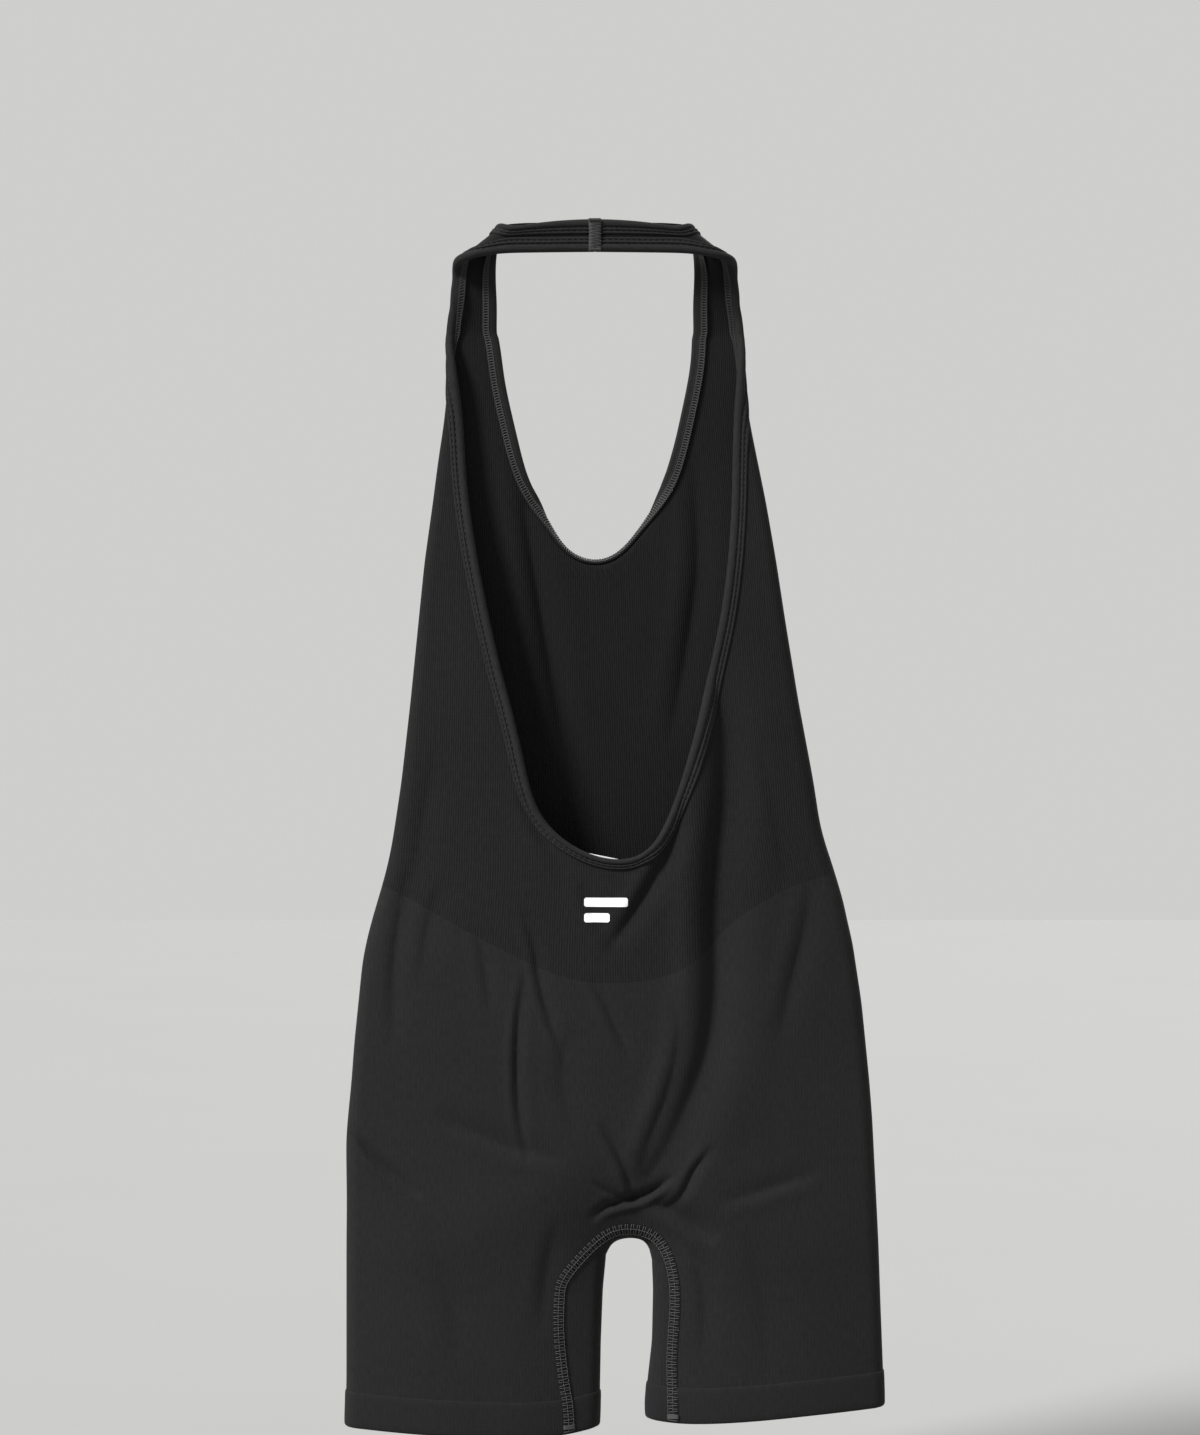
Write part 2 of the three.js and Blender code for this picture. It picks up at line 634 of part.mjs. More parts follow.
function makeKnitPanels() {
  const shell = knitShell();
  const half = CLEAR / 2;
  const [front, back] = [faceBlock(1, half), faceBlock(-1, -half)];
  const legSplit = (shift, up) => beyondLine((x) => hemLine(x) + WELT_HEIGHT, HEM_PLACES, shift, up);
  const waistSplit = (shift, up) => beyondLine(waistLine, WAIST_PLACES, shift, up);
  const [bodiceBlock, seatBlock] = [waistSplit(half, true), waistSplit(-half, false)];
  const aboveHem = legSplit(half, true);

  const neck = openingPrism(necklineEdge, torso.stations[0].centre - 6, FAR).add(edgeTrimmer(necklineEdge));
  const scoopTrim = edgeTrimmer(backOpeningEdge);
  const scoop = openingPrism(backOpeningEdge, -FAR, torso.stations[0].centre + 1).add(scoopTrim);
  const horns = beyondLine(() => Z_TOP - BACK_PANEL_TOP, STRAIGHT, 0, true);

  const wrapOutline = (grow) => {
    const centre = (INSEAM.left + INSEAM.right) / 2;
    const moved = ([x, z]) => [x + Math.sign(x - centre) * grow, z + (z > INSEAM.foot ? grow : 0)];
    const outline = inseamArch().map(moved);
    return [[outline[0][0], -2 * FAR], ...outline, [outline.at(-1)[0], -2 * FAR]];
  };
  const wrapped = throughDepth(wrapOutline(-half), -FAR, FAR);
  const wrappedGrown = throughDepth(wrapOutline(half), -FAR, FAR);
  const shorts = shell.intersect(seatBlock).intersect(aboveHem);
  const behind = faceBlock(-1, half);
  return {
    front_bodice: shell.intersect(bodiceBlock).intersect(front).subtract(neck).subtract(scoopTrim),
    back_bodice: shell.intersect(bodiceBlock).intersect(back).subtract(scoop).subtract(horns),
    front_shorts: shorts.subtract(behind.subtract(wrapped)),
    back_shorts: shorts.intersect(back).subtract(wrappedGrown),
  };
}

function makeHem(leg) {
  const half = CLEAR / 2;
  const wall = leg.solid(HALF_FABRIC, Z_LEG_END, Z_CROTCH - 0.3 * LEG_LENGTH);
  const hollow = leg.solid(HALF_FABRIC - WELT_THICKNESS, Z_LEG_END - 1, Z_CROTCH - 0.3 * LEG_LENGTH + 1);
  const below = beyondLine((x) => hemLine(x) + WELT_HEIGHT, HEM_PLACES, -half, false);
  return toGeometry(wall.subtract(hollow).intersect(below).intersect(beyondLine(hemLine, HEM_PLACES, 0, true)));
}

// ---------------------------------------------------------------- pieces that lie on the back

/** Depth of the body's outermost back face behind a point. */
function backDepth(x, z) {
  const covers = [torso, legs.left, legs.right].flatMap((tube) => {
    const { half, sway } = tube.level(z);
    const inward = half - Math.abs(x - sway);
    const [top, end] = [tube.stations[0].z, tube.stations.at(-1).z];
    if (inward <= 0 || z > top || z < end) return [];
    return [tube.middle(Math.sign(x - sway) || 1, -tube.aroundFor(inward, z), z).y];
  });
  return Math.min(...covers);
}

/** A place on the back of the garment, lifted off the fabric's middle by an offset. */
function onBack(x, z, offset) {
  const step = 0.5;
  const slopeX = (backDepth(x + step, z) - backDepth(x - step, z)) / (2 * step);
  const slopeZ = (backDepth(x, z + step) - backDepth(x, z - step)) / (2 * step);
  return vec(x, backDepth(x, z), z).addScaledVector(vec(slopeX, -1, slopeZ).normalize(), offset);
}

/** A thin plate on the back of the garment between two corners. */
function backPlate(xFrom, xTo, zFrom, zTo, lift, thickness) {
  const corners = [[zFrom, lift], [zTo, lift], [zTo, lift + thickness], [zFrom, lift + thickness]];
  const section = (x) => corners.map(([z, offset]) => onBack(x, z, offset));
  return loft(Array.from({ length: PLATE_STEPS + 1 }, (_, i) => section(lerp(xFrom, xTo, i / PLATE_STEPS))));
}

function makeInseam() {
  const arch = inseamArch();
  const stopsShort = 2; // of the hem
  const hang = (x) => [0.25, 0.75, 1].map((t) => [x, lerp(INSEAM.foot, hemLine(x) + stopsShort, t)]);
  const path = [...hang(INSEAM.left).reverse(), ...arch, ...hang(INSEAM.right)];
  const reach = FLATLOCK_WIDTH / 2;
  const near = HALF_FABRIC + 2 * CLEAR;
  const corners = [-reach, 0, reach].map((across) => [across, near]);
  corners.push(...[reach, 0, -reach].map((across) => [across, near + THREAD]));
  const sections = path.map(([x, z], i) => {
    const before = path[Math.max(i - 1, 0)];
    const after = path[Math.min(i + 1, path.length - 1)];
    const along = new THREE.Vector2(after[0] - before[0], after[1] - before[1]).normalize();
    return corners.map(([across, offset]) => onBack(x - along.y * across, z + along.x * across, offset));
  });
  return loft(sections);
}

function makeHemBartack(x) {
  const reach = FLATLOCK_WIDTH / 2;
  const { rise, height, thickness } = HEM_BARTACK;
  const low = hemLine(x) + rise;
  return backPlate(x - reach, x + reach, low, low + height, HALF_FABRIC + CLEAR, thickness);
}

function makeBadgeBar(index) {
  const left = BADGE.centre - Math.max(...BADGE.bars) / 2;
  const top = Z_TOP - BACK_OPENING_DEPTH - BADGE.drop + BADGE.height - index * BADGE.pitch;
  const lift = HALF_FABRIC + CLEAR;
  return backPlate(left, left + BADGE.bars[index], top - BADGE.height, top, lift, BADGE.thickness);
}

/** Soft lining that spans the crotch inside, from the front face under and up the back. */
function makeGussetLining() {
  const { thickness, drops, narrower } = GUSSET;
  const off = -HALF_FABRIC - 2 * CLEAR;
  const floor = Z_PART - GUSSET.floor * CROTCH_DEPTH;
  const reach = LEG_GAP - narrower;
  const route = [...drops.map((d) => [1, d]), [0, 0], ...drops.map((d) => [-1, d]).reverse()];
  const place = ([face, drop], x, depth) => {
    if (face === 0) return vec(x, torso.stations.at(-1).centre, floor - depth);
    const z = Z_PART - drop;
    const { half, sway } = torso.level(z);
    const inward = half - Math.abs(x - sway);
    return torso.at(Math.sign(x - sway) || 1, face * torso.aroundFor(inward, z), z, off - thickness + depth);
  };
  const xs = [-1, 0, 1].map((k) => LEG_GAP_CENTRE + k * reach);
  const sections = route.map((stop) => [
    ...xs.map((x) => place(stop, x, thickness)),
    ...[...xs].reverse().map((x) => place(stop, x, 0)),
  ]);
  return loft(sections);
}

// ---------------------------------------------------------------- neck seam and label

function box(width, depth, height, x, y, z) {
  const geometry = new THREE.BoxGeometry(width, depth, height);
  geometry.translate(x, y, z);
  return geometry;
}

const BAND_FACE = BAND_DEPTH - OUTER_FACE; // outer face of the neck band's bindings
const BAND_MIDDLE = BAND_TOP - BAND_HEIGHT / 2;

function makeNeckSeam() {
  const { width, thickness } = NECK_SEAM;
  return box(width, thickness, BAND_HEIGHT, 0, BAND_FACE - CLEAR - thickness / 2, BAND_MIDDLE);
}

function makeSeamAllowance() {
  const { width, thickness, shorter } = ALLOWANCE;
  const y = BAND_DEPTH - INNER_FACE + CLEAR + thickness / 2;
  return box(width, thickness, BAND_HEIGHT - shorter, 0, y, BAND_MIDDLE);
}

function makeNeckBartack(end) {
  const { width, depth, height, centre } = NECK_BARTACK;
  const z = BAND_MIDDLE + end * ((BAND_HEIGHT + height) / 2 + CLEAR);
  return box(width, depth, height, 0, BAND_DEPTH + centre, z);
}

/** The label hangs from its sewn edge; both parts share a tilted frame at that edge. */
function labelMesh(name, height, centreDrop) {
  const geometry = new THREE.BoxGeometry(LABEL.width, LABEL.thickness, height);
  geometry.translate(0, 0, -centreDrop);
  return mesh(name, geometry, FINISH.label);
}

// ---------------------------------------------------------------- finishes and assembly

const finish = (color, roughness, metalness = 0) => ({ color, roughness, metalness });
const FINISH = {
  rib: finish(0x2b2a2a, 0.88),
  jersey: finish(0x2c2b2b, 0.85),
  binding: finish(0x262526, 0.82),
  elastic: finish(0x1b1b1c, 0.7),
  thread: finish(0x55555a, 0.75),
  lining: finish(0x202021, 0.9),
  label: finish(0xf1f1ee, 0.6),
  badge: finish(0xf4f4f2, 0.35),
};

function mesh(name, geometry, look) {
  const piece = new THREE.Mesh(geometry, new THREE.MeshStandardMaterial(look));
  piece.name = name;
  return piece;
}

const garment = new THREE.Group();
const add = (name, geometry, look) => garment.add(mesh(name, geometry, look));

const panels = makeKnitPanels();
Object.entries(panels).forEach(([name, panel]) => {
  add(name, toGeometry(panel), name.endsWith('bodice') ? FINISH.rib : FINISH.jersey);
});
Object.entries(legs).forEach(([side, leg]) => add(`${side}_leg_hem`, makeHem(leg), FINISH.jersey));
add('left_halter_strap', makeStrap(-1), FINISH.rib);
add('right_halter_strap', makeStrap(1), FINISH.rib);
Object.entries(EDGES).forEach(([name, edge]) => {
  add(`${name}_binding`, makeBinding(edge), FINISH.binding);
  add(`${name}_elastic`, makeElastic(edge), FINISH.elastic);
  add(`${name}_needle_stitching`, makeStitching(edge, OUTER_FACE), FINISH.thread);
  add(`${name}_looper_stitching`, makeStitching(edge, INNER_FACE), FINISH.thread);
});
add('neck_seam_overlock', makeNeckSeam(), FINISH.thread);
add('neck_seam_allowance', makeSeamAllowance(), FINISH.rib);
add('neck_seam_upper_bartack', makeNeckBartack(1), FINISH.thread);
add('neck_seam_lower_bartack', makeNeckBartack(-1), FINISH.thread);
add('inseam_flatlock', makeInseam(), FINISH.thread);
add('left_hem_bartack', makeHemBartack(INSEAM.left), FINISH.thread);
add('right_hem_bartack', makeHemBartack(INSEAM.right), FINISH.thread);
add('gusset_lining', makeGussetLining(), FINISH.lining);
add('badge_upper_bar', makeBadgeBar(0), FINISH.badge);
add('badge_lower_bar', makeBadgeBar(1), FINISH.badge);

// The label's tab is sewn inside the binding at the bottom of the back opening.
const labelFrame = new THREE.Group();
const sewnZ = Z_TOP - BACK_OPENING_DEPTH - LABEL.tab / 2;
const bindingInside = -backDepth(LABEL.centre, sewnZ) + INNER_FACE - STITCH_LIFT - THREAD;
labelFrame.position.set(LABEL.centre, -bindingInside + LABEL.thickness + CLEAR, sewnZ);
labelFrame.rotation.y = LABEL.tilt;
labelFrame.add(labelMesh('care_label_tab', LABEL.tab, -LABEL.tab / 2 - CLEAR / 2));
labelFrame.add(labelMesh('care_label', LABEL.drop, LABEL.drop / 2 + CLEAR / 2));
garment.add(labelFrame);

export default garment;
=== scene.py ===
"""Looks of a black halter-neck unitard, knitted as a seamless tube and hung from its neck loop.

The garment hangs in the frame's own place: X across it, Y through it with the back towards -Y, and Z up,
with the middle of the neck loop at the origin. Every size below is in millimetres unless it says otherwise.
"""

from __future__ import annotations

import logging
import math
from collections.abc import Sequence
from dataclasses import dataclass, replace
from enum import Enum

import bpy
import numpy as np
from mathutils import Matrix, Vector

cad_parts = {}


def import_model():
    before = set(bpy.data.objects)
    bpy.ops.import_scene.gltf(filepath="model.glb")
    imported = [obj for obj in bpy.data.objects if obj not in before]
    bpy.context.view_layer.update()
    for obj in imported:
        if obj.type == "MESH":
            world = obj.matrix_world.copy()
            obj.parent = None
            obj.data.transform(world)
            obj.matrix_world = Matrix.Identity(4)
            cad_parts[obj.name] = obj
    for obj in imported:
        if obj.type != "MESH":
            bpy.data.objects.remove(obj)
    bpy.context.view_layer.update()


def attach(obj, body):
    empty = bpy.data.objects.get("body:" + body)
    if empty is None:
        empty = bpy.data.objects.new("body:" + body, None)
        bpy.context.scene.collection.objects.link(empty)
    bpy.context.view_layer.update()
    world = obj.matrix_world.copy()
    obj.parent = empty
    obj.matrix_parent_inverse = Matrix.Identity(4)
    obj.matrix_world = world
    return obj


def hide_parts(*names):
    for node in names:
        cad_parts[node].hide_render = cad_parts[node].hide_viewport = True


MM = 0.001
Z_TOP = -60.0
Z_PART = -545.0
CHART_NAME = "knit"
BACKWARD = (0.0, -1.0, 0.0)

Array = np.ndarray
log = logging.getLogger("unitard")


# Sums on curves and surfaces


def softly(low: float, high: float, value: Array) -> Array:
    """A share that eases from 0 to 1.

    Args:
        low: Value where the share is 0.
        high: Value where the share is 1.
        value: Where to read it.

    Returns:
        The share at each value.
    """
    share = np.clip((value - low) / (high - low), 0.0, 1.0)
    return share * share * (3.0 - 2.0 * share)


def rounded(share: Array) -> Array:
    """Quarter of a circle: 0 at an edge, level and 1 from a share of 1 on."""
    return np.sqrt(np.maximum(1.0 - (1.0 - np.clip(share, 0.0, 1.0)) ** 2, 0.0))


def crowned(share: Array) -> Array:
    """Half of a parabola: 0 at an edge, level and 1 from a share of 1 on."""
    return 1.0 - (1.0 - np.clip(share, 0.0, 1.0)) ** 2


def blurred(values: Array, spread: float) -> Array:
    """Evens out a row of numbers or points, and keeps its two ends.

    Args:
        values: The row, with one number or one point at each place.
        spread: How far each place reads its neighbours, in places.

    Returns:
        The evened row.
    """
    rows = values.reshape(len(values), -1)
    reach = max(1, min(int(math.ceil(3 * spread)), len(rows) - 1))
    weights = np.exp(-0.5 * (np.arange(-reach, reach + 1) / spread) ** 2)
    weights /= weights.sum()
    before = 2 * rows[0] - rows[reach:0:-1]
    after = 2 * rows[-1] - rows[-2 : -reach - 2 : -1]
    padded = np.vstack([before, rows, after])
    even = [np.convolve(column, weights, "valid") for column in padded.T]
    return np.stack(even, axis=1).reshape(values.shape)


def lengths_along(path: Array) -> Array:
    """Length from a path's start to each of its points."""
    return np.concatenate([[0.0], np.cumsum(np.linalg.norm(np.diff(path, axis=0), axis=1))])


def respaced(path: Array, step: float) -> Array:
    """Puts evenly spaced points along a path.

    Args:
        path: Points of the path.
        step: Wanted distance between them.

    Returns:
        The new points, with the same ends.
    """
    along = lengths_along(path)
    stops = np.linspace(0.0, along[-1], max(2, int(round(along[-1] / step)) + 1))
    return np.stack([np.interp(stops, along, column) for column in path.T], axis=1)


def smooth_curve(points: Sequence[Sequence[float]], per_span: int = 12) -> Array:
    """A smooth curve through points.

    Args:
        points: Points that it goes through.
        per_span: Stops between one point and the next.

    Returns:
        Points along the curve.
    """
    knots = np.asarray(points, float)
    ends = np.vstack([2 * knots[0] - knots[1], knots, 2 * knots[-1] - knots[-2]])
    t = np.linspace(0.0, 1.0, per_span, endpoint=False)[:, None]
    spans = [
        0.5 * (2 * b + (c - a) * t + (2 * a - 5 * b + 4 * c - d) * t**2 + (3 * b - a - 3 * c + d) * t**3)
        for a, b, c, d in zip(ends, ends[1:], ends[2:], ends[3:])
    ]
    return np.vstack([*spans, knots[-1:]])


def even_path(points: Sequence[Sequence[float]], step: float, blur: float = 0.0) -> Array:
    """A smooth path of evenly spaced points.

    Args:
        points: Points that it goes through.
        step: Distance between the path's points.
        blur: Length over which small kinks are evened out.

    Returns:
        The path's points.
    """
    path = respaced(smooth_curve(points), step)
    return respaced(blurred(path, blur / step), step) if blur else path


def distance_to_path(points: Array, path: Array) -> tuple[Array, Array, Array]:
    """Measures places in the plane from a path.

    Args:
        points: Places, with two numbers each.
        path: Points of the path.

    Returns:
        Each place's distance, the side that it lies on (1 on the left of the path's way, else -1), and how
        far along the path its nearest point is, as a share.
    """
    flat = points.reshape(-1, 2)
    best = np.full(len(flat), np.inf)
    side = np.ones(len(flat))
    share = np.zeros(len(flat))
    along = lengths_along(path)
    for i, (a, b) in enumerate(zip(path, path[1:])):
        run = b - a
        away = flat - a
        t = np.clip(away @ run / max(run @ run, 1e-12), 0.0, 1.0)
        distance = np.linalg.norm(away - t[:, None] * run, axis=1)
        nearer = distance < best
        best[nearer] = distance[nearer]
        side[nearer] = np.sign(run[0] * away[nearer, 1] - run[1] * away[nearer, 0] + 1e-12)
        share[nearer] = (along[i] + t[nearer] * (along[i + 1] - along[i])) / along[-1]
    shape = points.shape[:-1]
    return best.reshape(shape), side.reshape(shape), share.reshape(shape)


def together(*numbers: Array | float) -> Array:
    """Points put together from their numbers, all stretched to one shape."""
    return np.stack(np.broadcast_arrays(*numbers), axis=-1)


def unit(vectors: Array) -> Array:
    """Vectors of length 1 in the same directions."""
    return vectors / np.maximum(np.linalg.norm(vectors, axis=-1, keepdims=True), 1e-12)


class Profile:
    """A size that changes smoothly with height."""

    def __init__(self, table: Sequence[tuple[float, float]], blur: float = 5.0) -> None:
        """Evens out a table of sizes.

        Args:
            table: Pairs of height and size.
            blur: Length over which its corners are evened out.
        """
        pairs = sorted(table)
        self.heights = np.arange(-720.0, 1.0)
        raw = np.interp(self.heights, [p[0] for p in pairs], [p[1] for p in pairs])
        self.sizes = blurred(raw, blur)

    def __call__(self, z: Array) -> Array:
        """The size at a height."""
        return np.interp(z, self.heights, self.sizes)


# Meshes


class Body(Enum):
    """The two bodies that the pieces ride on."""

    GARMENT = "garment"
    CARE_LABEL = "care_label"


class Slot(Enum):
    """The finishes named in the record."""

    RIB = "rib_knit"
    JERSEY = "jersey_knit"
    BINDING = "binding_knit"
    ELASTIC = "elastic_tape"
    THREAD = "sewing_thread"
    LINING = "lining_knit"
    LABEL = "label_ribbon"
    PRINT = "reflective_print"


class Draft:
    """Corners and faces of one piece in the making."""

    def __init__(self) -> None:
        """Starts an empty piece."""
        self.points = np.zeros((0, 3))
        self.chart = np.zeros((0, 2))
        self.quads = np.zeros((0, 4), int)
        self.tags = np.zeros(0, int)
        self.rims = np.zeros((0, 2), int)
        self.caps: list[list[int]] = []

    def add(self, points: Array, quads: Array, chart: Array | None = None) -> None:
        """Adds corners and the faces between them.

        Args:
            points: New corners.
            quads: New faces, numbered from the first of those corners.
            chart: Place of each corner on the flat cloth.
        """
        flat = points.reshape(-1, 3)
        places = np.zeros((len(flat), 2)) if chart is None else chart.reshape(-1, 2)
        self.quads = np.vstack([self.quads, quads + len(self.points)])
        self.tags = np.concatenate([self.tags, np.zeros(len(quads), int)])
        self.points = np.vstack([self.points, flat])
        self.chart = np.vstack([self.chart, places])

    def add_grid(
        self, points: Array, chart: Array | None = None, ring: bool = False, flip: bool = False
    ) -> None:
        """Adds a grid of corners.

        Args:
            points: Corners in rows.
            chart: Place of each corner on the flat cloth.
            ring: Whether each row closes on itself.
            flip: Whether the faces turn the other way.
        """
        quads = grid_quads(points.shape[0], points.shape[1], ring)
        self.add(points, quads[:, ::-1] if flip else quads, chart)

    def cap(self, corners: Sequence[int]) -> None:
        """Closes a hole with one face over corners of the whole draft."""
        self.caps.append([int(c) for c in corners])

    def weld(self) -> None:
        """Joins corners that lie at one place, and drops corners that no face uses."""
        places = np.round(self.points * 1000).astype(int)
        _, first, where = np.unique(places, axis=0, return_index=True, return_inverse=True)
        quads = where.reshape(-1)[self.quads]
        whole = (np.diff(np.sort(quads, axis=1), axis=1) > 0).sum(axis=1) > 1
        quads, self.tags = quads[whole], self.tags[whole]
        used, renumbered = np.unique(quads, return_inverse=True)
        self.points, self.chart = self.points[first][used], self.chart[first][used]
        self.quads = renumbered.reshape(quads.shape)

    def normals(self) -> Array:
        """The direction that the surface faces at each corner.

        Returns:
            A direction of length 1 for each corner.
        """
        corners = self.points[self.quads]
        across = np.cross(corners[:, 2] - corners[:, 0], corners[:, 3] - corners[:, 1])
        total = np.zeros_like(self.points)
        for k in range(4):
            np.add.at(total, self.quads[:, k], across)
        return unit(total)

    def thicken(self, thickness: float) -> None:
        """Gives a sheet its thickness, half to each side, with a narrow face along each edge.

        Args:
            thickness: The sheet's thickness.
        """
        offset = self.normals() * thickness / 2
        count = len(self.points)
        edges = np.vstack([self.quads[:, [k, (k + 1) % 4]] for k in range(4)])
        edges = edges[edges[:, 0] != edges[:, 1]]
        _, index, uses = np.unique(np.sort(edges, axis=1), axis=0, return_index=True, return_counts=True)
        open_edges = edges[index[uses == 1]]
        a, b = open_edges.T
        self.rims = np.vstack([open_edges, open_edges + count])
        rims = np.stack([b, a, a + count, b + count], axis=1)
        self.tags = np.repeat([0, 1, 0], [len(self.quads), len(self.quads), len(rims)])
        self.quads = np.vstack([self.quads, self.quads[:, ::-1] + count, rims])
        self.points = np.vstack([self.points + offset, self.points - offset])
        self.chart = np.vstack([self.chart, self.chart])

    def make(self, name: str, materials: Sequence[bpy.types.Material]) -> bpy.types.Object:
        """Makes the piece.

        Args:
            name: Its name.
            materials: Its finish, and that of a sheet's inner side if it is another.

        Returns:
            The new object, in metres.
        """
        mesh = bpy.data.meshes.new(name)
        faces = [list(dict.fromkeys(quad)) for quad in self.quads.tolist()]
        mesh.from_pydata((self.points * MM).tolist(), [], faces + self.caps)
        corners = np.zeros(len(mesh.loops), np.int32)
        mesh.loops.foreach_get("vertex_index", corners)
        layer = mesh.uv_layers.new(name=CHART_NAME)
        layer.data.foreach_set("uv", (self.chart[corners] * MM).ravel())
        mesh.shade_smooth()
        for material in materials:
            mesh.materials.append(material)
        if len(materials) > 1:
            tags = np.concatenate([self.tags, np.zeros(len(self.caps), int)])
            mesh.polygons.foreach_set("material_index", tags.astype(np.int32))
        self.crease_rims(mesh)
        piece = bpy.data.objects.new(name, mesh)
        bpy.context.scene.collection.objects.link(piece)
        return piece

    def crease_rims(self, mesh: bpy.types.Mesh) -> None:
        """Keeps the shading of a sheet's faces apart from that of its narrow rims.

        Args:
            mesh: The piece's mesh.
        """
        pairs = np.zeros(2 * len(mesh.edges), np.int32)
        mesh.edges.foreach_get("vertices", pairs)
        keys = np.sort(pairs.reshape(-1, 2), axis=1) @ [len(mesh.vertices), 1]
        rims = np.sort(self.rims, axis=1) @ [len(mesh.vertices), 1]
        sharp = mesh.attributes.new("sharp_edge", "BOOLEAN", "EDGE")
        sharp.data.foreach_set("value", np.isin(keys, rims))


def grid_quads(rows: int, columns: int, ring: bool = False) -> Array:
    """Faces between the corners of a grid.

    Args:
        rows: Rows of corners.
        columns: Corners in a row.
        ring: Whether each row closes on itself.

    Returns:
        Four corner numbers for each face.
    """
    index = np.arange(rows * columns).reshape(rows, columns)
    right = np.roll(index, -1, axis=1)
    last = columns if ring else columns - 1
    quads = [index[:-1, :last], right[:-1, :last], right[1:, :last], index[1:, :last]]
    return np.stack(quads, axis=-1).reshape(-1, 4)


def add_threads(draft: Draft, middles: Array, ups: Array, radius: Array | float, sides: int = 5) -> None:
    """Adds round threads that all have the same number of stops.

    Args:
        draft: The piece that they belong to.
        middles: Stops along each thread.
        ups: A direction away from the cloth at each stop.
        radius: The thread's radius, or one for each stop.
        sides: Sides of its section.
    """
    along = unit(np.gradient(middles, axis=1))
    across = unit(np.cross(along, ups))
    over = np.cross(across, along)
    turn = np.linspace(0.0, 2 * math.pi, sides, endpoint=False)
    size = np.broadcast_to(radius, middles.shape[1])[None, :, None, None]
    ring = np.cos(turn)[:, None] * over[:, :, None] + np.sin(turn)[:, None] * across[:, :, None]
    corners = middles[:, :, None] + size * ring
    count, stops = middles.shape[:2]
    one = grid_quads(stops, sides, ring=True)
    quads = (one[None] + (np.arange(count) * stops * sides)[:, None, None]).reshape(-1, 4)
    start = len(draft.points)
    draft.add(corners, quads)
    for i in range(count):
        first = start + i * stops * sides
        draft.cap(range(first + sides - 1, first - 1, -1))
        draft.cap(range(first + (stops - 1) * sides, first + stops * sides))


# The hanging form


class Face(Enum):
    """The two faces of the hanging garment."""

    FRONT = 1
    BACK = -1


@dataclass(frozen=True)
class Crease:
    """A soft fold in one face of the cloth."""

    face: Face
    path: tuple[tuple[float, float], ...]
    depth: float
    width: float
    lip: float = 0.5
    steep: float = 1.7

    def relief(self, x: Array, z: Array) -> Array:
        """How far the fold moves the cloth outward.

        Args:
            x: Places across the garment.
            z: Their heights.

        Returns:
            The move at each place, negative in the valley.
        """
        path = even_path(self.path, 4.0, 4.0)
        low = path.min(0) - 5 * self.width
        high = path.max(0) + 5 * self.width
        near = (x > low[0]) & (x < high[0]) & (z > low[1]) & (z < high[1])
        result = np.zeros_like(x)
        if near.any():
            distance, side, share = distance_to_path(together(x[near], z[near]), path)
            t = distance * side / self.width
            ends = np.sin(math.pi * np.clip(share, 0.0, 1.0)) ** 0.8
            ends *= np.exp(-((distance / (6 * self.width)) ** 4))
            valley = np.exp(-np.abs(t * np.where(t > 0, 0.75, 1.9)) ** self.steep)
            ridges = self.lip * np.exp(-(((t + 1.5) / 0.75) ** 2))
            ridges += 0.3 * self.lip * np.exp(-(((t - 2.6) / 1.2) ** 2))
            result[near] = -self.depth * ends * (valley - ridges)
        return result


